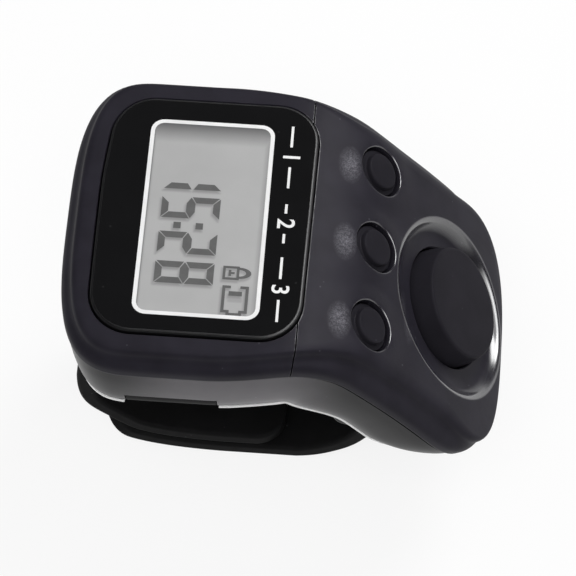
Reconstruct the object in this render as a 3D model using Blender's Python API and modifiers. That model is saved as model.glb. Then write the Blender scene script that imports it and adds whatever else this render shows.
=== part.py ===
"""A digital tally counter that is worn on a finger like a ring.

The body is a slab that lies flat under the display and then bends down past the finger, where the
keys are. Its shape is worked out flat, as a place s along the slab from the middle of the display
window, a place t across it and a depth d under its top face, and is then laid along the bent line.
Model space is in metres, +Z up, display face up, keys towards +X and the finger along Y. The origin
is under the middle of the object, on the surface that its strap stands on.
"""

import math

import bmesh
import bpy
from mathutils import Matrix, Vector

MM = 0.001

# The body's line, from the middle of the window to its two ends
DISPLAY_END = 12.8 * MM
FLAT_RUN = 7.6 * MM
SHOULDER_RADIUS = 11.5 * MM
SHOULDER_TILT = math.radians(46.4)
SLOPE_RADIUS = 88.0 * MM
SLOPE_RUN = 21.4 * MM
SLOPE_START = FLAT_RUN + SHOULDER_RADIUS * SHOULDER_TILT
SHOULDER_END = FLAT_RUN + SHOULDER_RADIUS * math.sin(SHOULDER_TILT)
TIP = SLOPE_START + SLOPE_RUN

# The body's outline across that line
HALF_WIDTH = 15.6 * MM
SLOPE_HALF_WIDTH = 13.9 * MM
WAIST_START = 1.0 * MM
WAIST_RUN = 14.0 * MM
DISPLAY_CORNER = 8.0 * MM
DISPLAY_CORNER_POWER = 3.2
TIP_CORNER = 10.0 * MM
TIP_CORNER_POWER = 2.8
CORNER_STEPS = 9
FLAT_STEPS = 4
SHOULDER_STEPS = 8
SLOPE_STEPS = 4

# Depths and walls of the three shells
DISPLAY_DEPTH = 10.6 * MM
SLOPE_DEPTH = 9.2 * MM
DEPTH_START = 17.0 * MM
DEPTH_RUN = 7.0 * MM
TIP_DEPTH = 4.5 * MM
TIP_DEPTH_RUN = 10.9 * MM
PARTING_DEPTH = 3.0 * MM
PARTING_GAP = 0.15 * MM
DISPLAY_EDGE_INSET = 1.65 * MM
SLOPE_EDGE_INSET = 3.0 * MM
TIP_EDGE_INSET = 0.5 * MM
EDGE_START = 8.0 * MM
EDGE_RUN = 9.0 * MM
TIP_EDGE_RUN = 11.0 * MM
BASE_INSET = 2.2 * MM
CEILING = 1.9 * MM
SIDE_WALL = 1.4 * MM
CEILING_ROUND = 0.5 * MM
FLOOR = 1.1 * MM
SEAM_AFTER_FLAT = 1.7 * MM
SEAM = FLAT_RUN + SEAM_AFTER_FLAT
SEAM_GAP = 0.12 * MM
OVERRUN = 1.0 * MM
FIT_GAP = 0.15 * MM
SINK = 0.4 * MM

# Inset and depth of the upper shells' side, as shares of the edge inset and of PARTING_DEPTH: a soft
# top edge, a shallow groove and a bead above the parting line
EDGE_SHARES = (
    (1.0, 0.0),
    (0.84, 0.015),
    (0.68, 0.06),
    (0.58, 0.15),
    (0.53, 0.27),
    (0.40, 0.37),
    (0.18, 0.48),
    (0.04, 0.60),
    (0.0, 0.74),
    (0.0, 0.90),
    (0.07, 1.0),
)
# Inset and depth of the base shell's side, as shares of BASE_INSET and of what lies under the parting line
BASE_SHARES = ((0.10, 0.0), (0.12, 0.22), (0.20, 0.46), (0.33, 0.68), (0.53, 0.84), (0.76, 0.94), (1.0, 1.0))

# Display window, its print and the opening under it
WINDOW_WIDTH = 19.9 * MM
WINDOW_RIM = 3.0 * MM
WINDOW_LENGTH = 2 * (HALF_WIDTH - WINDOW_RIM)
WINDOW_CORNER = 4.0 * MM
WINDOW_THICKNESS = 1.2 * MM
WINDOW_PROUD = 0.3 * MM
WINDOW_EDGE = 0.35 * MM
TAPE_THICKNESS = 0.12 * MM
OPENING_WIDTH = 12.4 * MM
OPENING_SHORTER = 3.8 * MM
OPENING_LENGTH = WINDOW_LENGTH - OPENING_SHORTER
OPENING_CORNER = 1.2 * MM

# Display stack, each piece under the one before
GLASS_WIDTH = 12.2 * MM
GLASS_OVERHANG = 2.0 * MM
GLASS_LONGER = 1.2 * MM
GLASS_LENGTH = OPENING_LENGTH + GLASS_LONGER
GLASS_THICKNESS = 0.7 * MM
STACK_GAP = 0.1 * MM
GUIDE_THICKNESS = 1.9 * MM
GUIDE_SHORTER = 1.6 * MM
HOLDER_WALL = 0.6 * MM
ZEBRA_WIDTH = 1.4 * MM
ZEBRA_SHORTER = 3.6 * MM
ZEBRA_LENGTH = GLASS_LENGTH - ZEBRA_SHORTER
LED_SIZE = (1.6 * MM, 0.8 * MM, 0.8 * MM)
BOARD_THICKNESS = 0.8 * MM
BOARD_START = -10.2 * MM
BOARD_END = 8.2 * MM
BOARD_RIM = 4.1 * MM
BOARD_WIDTH = 2 * (HALF_WIDTH - BOARD_RIM)
BOARD_NECK = 14.6 * MM
BOARD_NECK_END = -6.2 * MM

# Charging port and its plug
PORT_MIDDLE = -2.0 * MM
PORT_WIDTH = 7.6 * MM
PORT_REACH = 4.9 * MM
PORT_HEIGHT = 2.3 * MM
PORT_WALL = 0.3 * MM
PORT_INSET = 2.9 * MM
PORT_FACE = HALF_WIDTH - PORT_INSET
NOTCH_WIDTH = 8.5 * MM
NOTCH_TOP = 7.5 * MM
NOTCH_REACH = 2.4 * MM
NOTCH_FLOOR = HALF_WIDTH - NOTCH_REACH
PLUG_GAP = 0.15 * MM
PLUG_LOW = 10.0 * MM
PLUG_HINGE_INSET = 0.12 * MM
PLUG_HINGE_DEPTH = 0.85 * MM
PLUG_HINGE_AT = HALF_WIDTH - PLUG_HINGE_DEPTH

# Pieces under the main board
BATTERY_BEHIND = 1.5 * MM
BATTERY_RIM = 5.1 * MM
BATTERY_LOW = (-6.2 * MM, PORT_REACH - PORT_FACE + BATTERY_BEHIND)
BATTERY_SIZE = (11.6 * MM, HALF_WIDTH - BATTERY_RIM - BATTERY_LOW[1], 2.1 * MM)
BATTERY_ROUND = 0.9 * MM
PAD_INSET = 1.5 * MM
PAD_THICKNESS = 0.25 * MM
CHIP_SIZE = (3.6 * MM, 4.8 * MM, 0.9 * MM)
CHIP_LOW = (-10.0 * MM, 0.3 * MM)
CRYSTAL_RADIUS = 0.75 * MM
CRYSTAL_LENGTH = 5.0 * MM
CRYSTAL_AT = (-8.2 * MM, -6.6 * MM)
CHARGE_CHIP_SIZE = (1.6 * MM, 2.9 * MM, 1.0 * MM)
CHARGE_CHIP_LOW = (5.75 * MM, -7.0 * MM)

# Keys
SMALL_KEY_BEFORE_SLOPE = 0.13 * MM
SMALL_KEY_AT = SLOPE_START - SMALL_KEY_BEFORE_SLOPE
SMALL_KEY_TO_RIM = 5.55 * MM
SMALL_KEY_PITCH = SLOPE_HALF_WIDTH - SMALL_KEY_TO_RIM
SMALL_HOLE = 2.45 * MM
SMALL_SKIRT = 2.28 * MM
SMALL_DISC = 1.75 * MM
SMALL_PROUD = 0.25 * MM
SMALL_SKIRT_DEEP = 0.6 * MM
SMALL_FLANGE = 3.0 * MM
SMALL_TRAVEL = 0.4 * MM
COUNT_TO_TIP = 9.23 * MM
COUNT_AT = TIP - COUNT_TO_TIP
COUNT_HOLE = 5.95 * MM
COUNT_SKIRT = 5.75 * MM
COUNT_DISC = 5.4 * MM
COUNT_PROUD = 1.3 * MM
COUNT_FLANGE = 6.45 * MM
COUNT_TRAVEL = 0.6 * MM
FLANGE_THICKNESS = 0.5 * MM
KEY_EDGE = 0.18 * MM
DISH_RADIUS = 9.1 * MM
DISH_FLOOR = 6.7 * MM
DISH_TILT = math.radians(58.0)
DISH_LIP = 0.25 * MM
COLLAR_RADIUS = 8.3 * MM
COLLAR_DEPTH = 2.5 * MM
TURN_STEPS = 32
DISH_STEPS = 40
HOLE_STEPS = 24
LUG_STEPS = 20
SCREW_STEPS = 16
POST_STEPS = 12

# Key board, its switches and its cable
KEY_BOARD_TO_TIP = 12.93 * MM
KEY_BOARD_AT = TIP - KEY_BOARD_TO_TIP
KEY_BOARD_DEPTH = 5.6 * MM
KEY_BOARD_THICKNESS = 0.6 * MM
KEY_BOARD_RIM = 3.2 * MM
KEY_BOARD_HALF = SLOPE_HALF_WIDTH - KEY_BOARD_RIM
KEY_BOARD_SPLIT = -5.0 * MM
KEY_BOARD_START = -11.0 * MM
KEY_BOARD_END = 6.2 * MM
KEY_BOARD_NECK_RIM = 6.7 * MM
KEY_BOARD_NECK_HALF = SLOPE_HALF_WIDTH - KEY_BOARD_NECK_RIM
SMALL_SWITCH = (3.4 * MM, 3.4 * MM, 1.0 * MM)
COUNT_SWITCH = (4.6 * MM, 4.6 * MM, 0.9 * MM)
PLUNGER_GAP = 0.2 * MM
SMALL_PLUNGER = 0.6 * MM
COUNT_PLUNGER = 1.0 * MM
PLUNGER_PROUD = 0.7 * MM
PLUNGER_SUNK = 0.15 * MM
RIBBON_WIDTH = 6.0 * MM
RIBBON_THICKNESS = 0.14 * MM
RIBBON_LAP = 1.6 * MM

# Screws and what they hold
SCREW_TO_END = 4.7 * MM
SCREW_TO_TIP = 13.23 * MM
SCREW_RIMS = (4.6 * MM, 3.9 * MM)
SCREW_PLACES = (
    (SCREW_TO_END - DISPLAY_END, HALF_WIDTH - SCREW_RIMS[0]),
    (TIP - SCREW_TO_TIP, SLOPE_HALF_WIDTH - SCREW_RIMS[1]),
)
SCREW_SHANK = 0.5 * MM
SCREW_LENGTH = 4.4 * MM
SCREW_HEAD = 1.0 * MM
SCREW_HEAD_HEIGHT = 0.6 * MM
SCREW_RECESS = 0.9 * MM
SCREW_SLOT = 0.25 * MM
SCREW_SLOT_HALF = 0.6 * MM
TOWER_RADIUS = 1.1 * MM
PAD_RADIUS = 1.6 * MM
PAD_HEIGHT = 1.3 * MM
POST_RADIUS = 0.8 * MM
POST_TO_RIM = 5.3 * MM
POST_HALF = HALF_WIDTH - POST_TO_RIM
BOARD_POSTS = ((-9.0 * MM, -1.0 * MM), (6.9 * MM, POST_HALF), (6.9 * MM, -POST_HALF))
KEY_POSTS = ((-5.6 * MM, 6.2 * MM), (-5.6 * MM, -6.2 * MM))

# Strap, its pins and its lugs
STRAP_TO_RIM = 8.2 * MM
STRAP_HALF = HALF_WIDTH - STRAP_TO_RIM
STRAP_THICKNESS = 1.7 * MM
STRAP_ROUND = 0.4 * MM
STRAP_LAP_GAP = 0.3 * MM
BARREL_RADIUS = 1.6 * MM
PIN_RADIUS = 0.55 * MM
PIN_GAP = 0.08 * MM
LUG_THICKNESS = 2.0 * MM
LUG_GAP = 0.25 * MM
LUG_RADIUS = 1.75 * MM
LEFT_PIN = (-9.2 * MM, 1.9 * MM)
RIGHT_PIN_TO_TIP = 9.93 * MM
RIGHT_PIN = (TIP - RIGHT_PIN_TO_TIP, 1.9 * MM)
STRAP_LEFT_FACE = -11.25 * MM
STRAP_RIGHT_FACE = 16.5 * MM
STRAP_BOTTOM = -31.25 * MM
STRAP_FLAT = (1.6 * MM, 9.0 * MM)
STRAP_CORNER = 3.0 * MM
STRAP_TIP = (-9.4 * MM, 3.4 * MM)
STRAP_TIP_SHARES = ((0.20, 0.48), (0.53, 0.15))
STRAP_RIGHT_SHARES = ((0.53, 0.145), (0.84, 0.365), (1.0, 0.66))
STRAP_LEFT_SHARES = ((0.30, 0.22), (0.0, 0.5), (0.17, 0.78))
STRAP_END = 8.2 * MM
STUD_AT = 4.2 * MM
STUD_RADIUS = 1.1 * MM
STUD_HEIGHT = 1.5 * MM
SLOT_HALF_WIDTH = 1.35 * MM
SLOT_HALF_LENGTH = 3.3 * MM
SLOT_PITCH = 8.3 * MM
BAND_STEP = 1.1 * MM

# Finishes: base colour, roughness and metallic value
FINISHES = {
    "charcoal_plastic": ((0.026, 0.026, 0.031), 0.48, 0.0),
    "key_plastic": ((0.020, 0.020, 0.024), 0.45, 0.0),
    "base_plastic": ((0.085, 0.080, 0.085), 0.34, 0.0),
    "gloss_window": ((0.006, 0.006, 0.007), 0.06, 0.0),
    "silicone": ((0.010, 0.010, 0.011), 0.55, 0.0),
    "display_glass": ((0.38, 0.38, 0.38), 0.25, 0.0),
    "white_plastic": ((0.75, 0.75, 0.73), 0.45, 0.0),
    "clear_plastic": ((0.80, 0.84, 0.84), 0.15, 0.0),
    "connector_rubber": ((0.35, 0.12, 0.10), 0.6, 0.0),
    "circuit_board": ((0.02, 0.14, 0.05), 0.4, 0.0),
    "chip_resin": ((0.012, 0.012, 0.013), 0.35, 0.0),
    "bright_steel": ((0.62, 0.62, 0.64), 0.28, 1.0),
    "battery_foil": ((0.60, 0.61, 0.63), 0.4, 0.6),
    "foam": ((0.05, 0.05, 0.05), 0.9, 0.0),
    "amber_film": ((0.55, 0.26, 0.05), 0.35, 0.0),
}


def smooth(value):
    value = min(1.0, max(0.0, value))
    return value * value * (3 - 2 * value)


def blend(first, second, share):
    return first + (second - first) * smooth(share)


def profile(s):
    """Place and tilt of the top face's middle line at s."""
    if s <= FLAT_RUN:
        return s, 0.0, 0.0
    if s <= SLOPE_START:
        tilt = (s - FLAT_RUN) / SHOULDER_RADIUS
        return FLAT_RUN + SHOULDER_RADIUS * math.sin(tilt), SHOULDER_RADIUS * (math.cos(tilt) - 1), tilt
    tilt = SHOULDER_TILT + (s - SLOPE_START) / SLOPE_RADIUS
    x = SHOULDER_END + SLOPE_RADIUS * (math.sin(tilt) - math.sin(SHOULDER_TILT))
    z = SHOULDER_RADIUS * (math.cos(SHOULDER_TILT) - 1)
    return x, z - SLOPE_RADIUS * (math.cos(SHOULDER_TILT) - math.cos(tilt)), tilt


def along_at(x):
    """The place along the body where its top face is at x."""
    if x <= FLAT_RUN:
        return x
    if x <= SHOULDER_END:
        return FLAT_RUN + SHOULDER_RADIUS * math.asin((x - FLAT_RUN) / SHOULDER_RADIUS)
    sine = (x - SHOULDER_END) / SLOPE_RADIUS + math.sin(SHOULDER_TILT)
    return SLOPE_START + SLOPE_RADIUS * (math.asin(min(1.0, sine)) - SHOULDER_TILT)


def lay(s, t, d):
    """The point at s along the body, t across it and d under its top face."""
    x, z, tilt = profile(s)
    return Vector((x - d * math.sin(tilt), t, z - d * math.cos(tilt)))


def half_width(s):
    return blend(HALF_WIDTH, SLOPE_HALF_WIDTH, (s - WAIST_START) / WAIST_RUN)


def body_depth(s):
    depth = blend(DISPLAY_DEPTH, SLOPE_DEPTH, (s - DEPTH_START) / DEPTH_RUN)
    return blend(depth, TIP_DEPTH, (s - TIP + TIP_DEPTH_RUN) / TIP_DEPTH_RUN)


def edge_inset(s):
    inset = blend(DISPLAY_EDGE_INSET, SLOPE_EDGE_INSET, (s - EDGE_START) / EDGE_RUN)
    return blend(inset, TIP_EDGE_INSET, (s - TIP + TIP_EDGE_RUN) / TIP_EDGE_RUN)


def corner(turn, radius, width, power):
    """Place in from the end, and across, on one rounded corner of the outline."""
    along = radius * (1 - max(0.0, math.cos(turn)) ** (2 / power))
    return along, width * math.sin(turn) ** (2 / power)


def outline():
    """The body's outline as (s, t), from the display end along one side to the tip and back."""
    turns = [math.pi / 2 * i / CORNER_STEPS for i in range(CORNER_STEPS + 1)]
    points = []
    for turn in turns[:-1]:
        along, t = corner(turn, DISPLAY_CORNER, HALF_WIDTH, DISPLAY_CORNER_POWER)
        points.append((along - DISPLAY_END, t))
    stops = (DISPLAY_CORNER - DISPLAY_END, FLAT_RUN, SLOPE_START, TIP - TIP_CORNER)
    for start, end, steps in zip(stops, stops[1:], (FLAT_STEPS, SHOULDER_STEPS, SLOPE_STEPS)):
        for i in range(steps):
            s = start + (end - start) * i / steps
            points.append((s, half_width(s)))
    for turn in reversed(turns):
        along, t = corner(turn, TIP_CORNER, SLOPE_HALF_WIDTH, TIP_CORNER_POWER)
        points.append((TIP - along, t))
    return points + [(s, -t) for s, t in reversed(points[1:-1])]


def ring(inset, depth):
    """One loop of points round the body, set in from its outline, at a depth for each s."""
    flat = outline()
    loop = []
    for i, (s, t) in enumerate(flat):
        before, after = flat[i - 1], flat[(i + 1) % len(flat)]
        run, rise = after[0] - before[0], after[1] - before[1]
        length = math.hypot(run, rise)
        s, t = s + rise / length * inset(s), t - run / length * inset(s)
        point = lay(s, t, depth(s))
        point.y *= half_width(along_at(point.x)) / half_width(s)
        loop.append(point)
    return loop


def frame_at(s, t=0.0, depth=0.0):
    """A place on the body whose local z is square to the top face."""
    return Matrix.Translation(lay(s, t, depth)) @ Matrix.Rotation(profile(s)[2], 4, "Y")


def level_frame(x=0.0, y=0.0, z=0.0):
    return Matrix.Translation((x, y, z))


def cross_frame(x, y, z):
    """A frame whose local z runs along +Y."""
    return Matrix.Translation((x, y, z)) @ Matrix.Rotation(-math.pi / 2, 4, "X")


def start_scene():
    for obj in list(bpy.data.objects):
        bpy.data.objects.remove(obj, do_unlink=True)
    groups = []
    for name in ("digital_tally_counter", "cutters"):
        group = bpy.data.collections.new(name)
        bpy.context.scene.collection.children.link(group)
        groups.append(group)
    groups[1].hide_render = True
    root = bpy.data.objects.new("counter_frame", None)
    groups[0].objects.link(root)
    return groups[0], groups[1], root


PARTS, CUTTERS, ROOT = start_scene()


def finish(name):
    """The material of that name, made the first time it is asked for."""
    material = bpy.data.materials.get(name)
    if material is None:
        colour, roughness, metallic = FINISHES[name]
        material = bpy.data.materials.new(name)
        material.use_nodes = True
        shader = material.node_tree.nodes["Principled BSDF"]
        shader.inputs["Base Color"].default_value = (*colour, 1.0)
        shader.inputs["Roughness"].default_value = roughness
        shader.inputs["Metallic"].default_value = metallic
    return material


def place(name, mesh, look, frame):
    """An object for that mesh: a part with its look, or a cutter where look is None."""
    obj = bpy.data.objects.new(name, mesh)
    (PARTS if look else CUTTERS).objects.link(obj)
    obj.parent = ROOT
    obj.matrix_basis = frame
    if look:
        mesh.materials.append(finish(look))
    else:
        obj.hide_render = True
        obj.display_type = "WIRE"
    return obj


def finished_mesh(name, shape, smooth_angle=math.radians(32.0)):
    bmesh.ops.recalc_face_normals(shape, faces=shape.faces)
    mesh = bpy.data.meshes.new(name)
    shape.to_mesh(mesh)
    shape.free()
    mesh.shade_smooth()
    mesh.set_sharp_from_angle(angle=smooth_angle)
    return mesh


def block(name, look, frame, x, y, z, corner_radius=0.0, edge_radius=0.0, steps=5):
    """A box between the pairs x, y and z, its upright edges rounded, and then its top edges."""
    shape = bmesh.new()
    bmesh.ops.create_cube(shape, size=1.0)
    size = Vector((x[1] - x[0], y[1] - y[0], z[1] - z[0]))
    middle = Vector((x[0] + x[1], y[0] + y[1], z[0] + z[1])) / 2
    bmesh.ops.transform(shape, matrix=Matrix.Translation(middle) @ Matrix.Diagonal((*size, 1.0)), verts=shape.verts)
    if corner_radius:
        upright = [e for e in shape.edges if abs(e.verts[0].co.z - e.verts[1].co.z) > size.z / 2]
        bmesh.ops.bevel(
            shape, geom=upright, offset=corner_radius, segments=steps, profile=0.5, affect="EDGES", clamp_overlap=True
        )
    if edge_radius:
        top = [e for e in shape.edges if min(v.co.z for v in e.verts) > z[1] - size.z / 100]
        bmesh.ops.bevel(
            shape, geom=top, offset=edge_radius, segments=2, profile=0.5, affect="EDGES", clamp_overlap=True
        )
    return place(name, finished_mesh(name, shape), look, frame)


def drum(name, look, frame, radius, low, high, sides=20, end_radius=None):
    """A round bar along the frame's z, from low to high, or a cone where end_radius is given."""
    shape = bmesh.new()
    bmesh.ops.create_cone(
        shape,
        cap_ends=True,
        segments=sides,
        radius1=radius,
        radius2=radius if end_radius is None else end_radius,
        depth=high - low,
        matrix=Matrix.Translation((0.0, 0.0, (low + high) / 2)),
    )
    return place(name, finished_mesh(name, shape), look, frame)


def turned(name, look, frame, points, steps=TURN_STEPS):
    """A turned solid: points are (radius, height), from its top on the axis round to its foot."""
    mesh = bpy.data.meshes.new(name)
    edges = [(i, i + 1) for i in range(len(points) - 1)]
    mesh.from_pydata([(radius, 0.0, height) for radius, height in points], edges, [])
    obj = place(name, mesh, look, frame)
    screw = obj.modifiers.new("Turn", "SCREW")
    screw.steps = steps
    screw.render_steps = steps
    screw.use_merge_vertices = True
    screw.merge_threshold = MM / 100
    screw.use_smooth_shade = True
    return obj


def set_pivot(obj, point):
    """Moves an object's origin onto its joint's axis, and leaves its shape where it is."""
    obj.data.transform(Matrix.Translation(-point))
    obj.matrix_basis = Matrix.Translation(point)


def cut(obj, cutter, operation="DIFFERENCE"):
    boolean = obj.modifiers.new(cutter.name, "BOOLEAN")
    boolean.operation = operation
    boolean.object = cutter
    boolean.solver = "EXACT"


def join(obj, other):
    cut(obj, other, "UNION")


def shell(name, look, rings):
    """A shell from a stack of rings that runs down its outer side and back up its inner side."""
    shape = bmesh.new()
    loops = [[shape.verts.new(point) for point in loop] for loop in rings]
    count = len(loops[0])
    for first, second in zip(loops, loops[1:]):
        for i in range(count):
            j = (i + 1) % count
            shape.faces.new((first[i], first[j], second[j], second[i]))
    for loop in (loops[0], loops[-1]):
        shape.faces.new((loop[0], loop[1], loop[-1]))
        for i in range(1, count // 2 - 1):
            shape.faces.new((loop[i], loop[i + 1], loop[-i - 1], loop[-i]))
        shape.faces.new((loop[count // 2 - 1], loop[count // 2], loop[count // 2 + 1]))
    return place(name, finished_mesh(name, shape), look, level_frame())


def upper_shell(name, look):
    """Both upper shells in one, before the seam is cut."""
    rings = []
    for inset, depth in EDGE_SHARES:
        rings.append(ring(lambda s: inset * edge_inset(s), lambda s: depth * PARTING_DEPTH))
    rings.append(ring(lambda s: SIDE_WALL, lambda s: PARTING_DEPTH))
    rings.append(ring(lambda s: SIDE_WALL, lambda s: CEILING + CEILING_ROUND))
    rings.append(ring(lambda s: SIDE_WALL + CEILING_ROUND, lambda s: CEILING))
    return shell(name, look, rings)


def base_rings(inset_more, floor, top):
    """Rings of the base's side, from its top down, set in further and stopped short of its bottom."""
    rings = []
    for inset, share in BASE_SHARES:
        rings.append(
            ring(
                lambda s: inset * BASE_INSET + inset_more,
                lambda s: top + share * (body_depth(s) - floor - top),
            )
        )
    return rings


def seam_cutter(name, sign):
    """A block over all of the body on one side of the seam."""
    reach = sign * (TIP + DISPLAY_END)
    x = sorted((-sign * SEAM_GAP / 2, reach))
    half = HALF_WIDTH + OVERRUN
    return block(name, None, frame_at(SEAM), x, (-half, half), (-TIP, SHOULDER_RADIUS))


def screw_frames():
    """The frames of the four screws, and their names' endings."""
    number = 0
    for s, t in SCREW_PLACES:
        for side in (t, -t):
            number += 1
            yield number, frame_at(s, side), s


def tower_foot(s):
    return body_depth(s) - FLOOR - PAD_HEIGHT - FIT_GAP


def add_screw_towers(shell_object, on_display):
    """Towers inside an upper shell that the screws bite into."""
    for number, frame, s in screw_frames():
        if (s < SEAM) != on_display:
            continue
        low = tower_foot(s)
        join(shell_object, drum(f"tower_{number}", None, frame, TOWER_RADIUS, -low, -(CEILING - SINK), SCREW_STEPS))
        hole = SCREW_SHANK + FIT_GAP
        top = body_depth(s) - SCREW_RECESS - SCREW_LENGTH - FIT_GAP
        cut(shell_object, drum(f"tower_hole_{number}", None, frame, hole, -(low + OVERRUN), -top, POST_STEPS))


def window_pocket(name):
    half_x, half_y = WINDOW_WIDTH / 2 + FIT_GAP, WINDOW_LENGTH / 2 + FIT_GAP
    low = WINDOW_PROUD - WINDOW_THICKNESS - 3 * TAPE_THICKNESS
    radius = WINDOW_CORNER + FIT_GAP
    return block(name, None, level_frame(), (-half_x, half_x), (-half_y, half_y), (low, OVERRUN), radius)


def make_top_housing():
    housing = upper_shell("top_housing", "charcoal_plastic")
    add_screw_towers(housing, True)
    cut(housing, seam_cutter("panel_side", 1))
    cut(housing, window_pocket("window_pocket"))
    half_x, half_y = OPENING_WIDTH / 2, OPENING_LENGTH / 2
    z = (-CEILING - OVERRUN, OVERRUN)
    opening = block("display_opening", None, level_frame(), (-half_x, half_x), (-half_y, half_y), z, OPENING_CORNER)
    cut(housing, opening)


def small_key_frames():
    for name, t in (("rear", SMALL_KEY_PITCH), ("middle", 0.0), ("front", -SMALL_KEY_PITCH)):
        yield name, frame_at(SMALL_KEY_AT, t)


def dish_points():
    """The dish's hollow: from above its middle, round its lip and down its hollow side to the key's hole."""
    lip = DISH_RADIUS + DISH_LIP
    points = [(0.0, COUNT_PROUD + OVERRUN), (lip, COUNT_PROUD + OVERRUN), (lip, DISH_LIP)]
    sweep = (DISH_RADIUS - DISH_FLOOR) / math.sin(DISH_TILT)
    for i in range(7):
        turn = DISH_TILT * (1 - i / 6)
        points.append((DISH_FLOOR + sweep * math.sin(turn), sweep * (math.cos(DISH_TILT) - math.cos(turn))))
    return points + [(0.0, points[-1][1])]


def make_key_panel():
    panel = upper_shell("key_panel", "charcoal_plastic")
    collar = drum("dish_collar", None, frame_at(COUNT_AT), COLLAR_RADIUS, -COLLAR_DEPTH, -(CEILING - SINK), TURN_STEPS)
    join(panel, collar)
    add_screw_towers(panel, False)
    cut(panel, seam_cutter("display_side", -1))
    cut(panel, window_pocket("window_pocket_end"))
    cut(panel, turned("dish", None, frame_at(COUNT_AT), dish_points(), DISH_STEPS))
    low = -COLLAR_DEPTH - OVERRUN
    cut(panel, drum("count_hole", None, frame_at(COUNT_AT), COUNT_HOLE, low, OVERRUN, TURN_STEPS))
    for name, frame in small_key_frames():
        cut(panel, drum(f"hole_{name}", None, frame, SMALL_HOLE, -CEILING - OVERRUN, OVERRUN, HOLE_STEPS))
        seat = SMALL_FLANGE + FIT_GAP
        low = -CEILING - FLANGE_THICKNESS - OVERRUN
        cut(panel, drum(f"seat_{name}", None, frame, seat, low, -CEILING, HOLE_STEPS))


def notch_block(name, look, gap, low, floor):
    """A block in the place of the port's notch, smaller all round by gap."""
    half = NOTCH_WIDTH / 2 - gap
    x = (PORT_MIDDLE - half, PORT_MIDDLE + half)
    return block(name, look, level_frame(), x, (-HALF_WIDTH - OVERRUN, -floor), (-low, -NOTCH_TOP - gap))


def add_lugs(base, frame, name, rise):
    """Two ears that hold one strap pin, rising by rise into the base's floor."""
    for side in (1, -1):
        near = STRAP_HALF + LUG_GAP
        y = sorted((side * near, side * (near + LUG_THICKNESS)))
        ear = f"{name}_{'rear' if side > 0 else 'front'}"
        join(base, block(ear, None, frame, (-LUG_RADIUS, LUG_RADIUS), y, (0.0, rise)))
        turned_ear = drum(f"{ear}_round", None, frame @ cross_frame(0.0, 0.0, 0.0), LUG_RADIUS, *y, LUG_STEPS)
        join(base, turned_ear)
    reach = STRAP_HALF + LUG_GAP + LUG_THICKNESS + OVERRUN
    hole = PIN_RADIUS + PIN_GAP
    across = frame @ cross_frame(0.0, 0.0, 0.0)
    cut(base, drum(f"{name}_hole", None, across, hole, -reach, reach, SCREW_STEPS))


def left_pin_frame():
    x, drop = LEFT_PIN
    return level_frame(x, 0.0, -DISPLAY_DEPTH - drop)


def right_pin_frame():
    s, drop = RIGHT_PIN
    return frame_at(s, 0.0, body_depth(s) + drop)


def make_base_shell():
    outer = base_rings(0.0, 0.0, PARTING_DEPTH + PARTING_GAP)
    inner = base_rings(SIDE_WALL, FLOOR, PARTING_DEPTH + PARTING_GAP)
    base = shell("base_shell", "base_plastic", outer[::-1] + inner)
    for number, frame, s in screw_frames():
        depth = body_depth(s)
        high = -depth + FLOOR + PAD_HEIGHT
        join(base, drum(f"pad_{number}", None, frame, PAD_RADIUS, -depth + SINK, high, SCREW_STEPS))
        hole = SCREW_SHANK + FIT_GAP
        cut(base, drum(f"pad_hole_{number}", None, frame, hole, -depth - OVERRUN, -depth / 2, POST_STEPS))
        recess = SCREW_HEAD + FIT_GAP
        high = -depth + SCREW_RECESS
        cut(base, drum(f"recess_{number}", None, frame, recess, -depth - OVERRUN, high, SCREW_STEPS))
    for number, (x, y) in enumerate(BOARD_POSTS):
        z = (-DISPLAY_DEPTH + SINK, main_board_top() - BOARD_THICKNESS - STACK_GAP)
        join(base, drum(f"board_post_{number}", None, level_frame(x, y), POST_RADIUS, *z, POST_STEPS))
    for number, (x, y) in enumerate(KEY_POSTS):
        depth = body_depth(KEY_BOARD_AT + x) - KEY_BOARD_DEPTH - FLOOR / 2
        z = (-depth, -KEY_BOARD_THICKNESS - STACK_GAP)
        frame = key_board_frame() @ level_frame(x, y)
        join(base, drum(f"key_post_{number}", None, frame, POST_RADIUS, *z, POST_STEPS))
    add_lugs(base, left_pin_frame(), "left_lug", LEFT_PIN[1] + FLOOR / 2)
    add_lugs(base, right_pin_frame(), "right_lug", RIGHT_PIN[1] + FLOOR / 2)
    cut(base, notch_block("port_notch", None, 0.0, DISPLAY_DEPTH + OVERRUN, NOTCH_FLOOR))
    half = PORT_WIDTH / 2 + FIT_GAP
    port_low, port_high = port_heights()
    x = (PORT_MIDDLE - half, PORT_MIDDLE + half)
    y = (-PORT_FACE - FIT_GAP, -PORT_FACE + PORT_REACH + FIT_GAP)
    cut(base, block("port_pocket", None, level_frame(), x, y, (port_low - FIT_GAP, port_high + FIT_GAP)))
    half = PORT_WIDTH / 2 - PORT_WALL
    x = (PORT_MIDDLE - half, PORT_MIDDLE + half)
    y = (-HALF_WIDTH, -PORT_FACE)
    z = (port_low + PORT_WALL, min(port_high - PORT_WALL, -NOTCH_TOP - FIT_GAP))
    cut(base, block("port_mouth", None, level_frame(), x, y, z))


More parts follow.
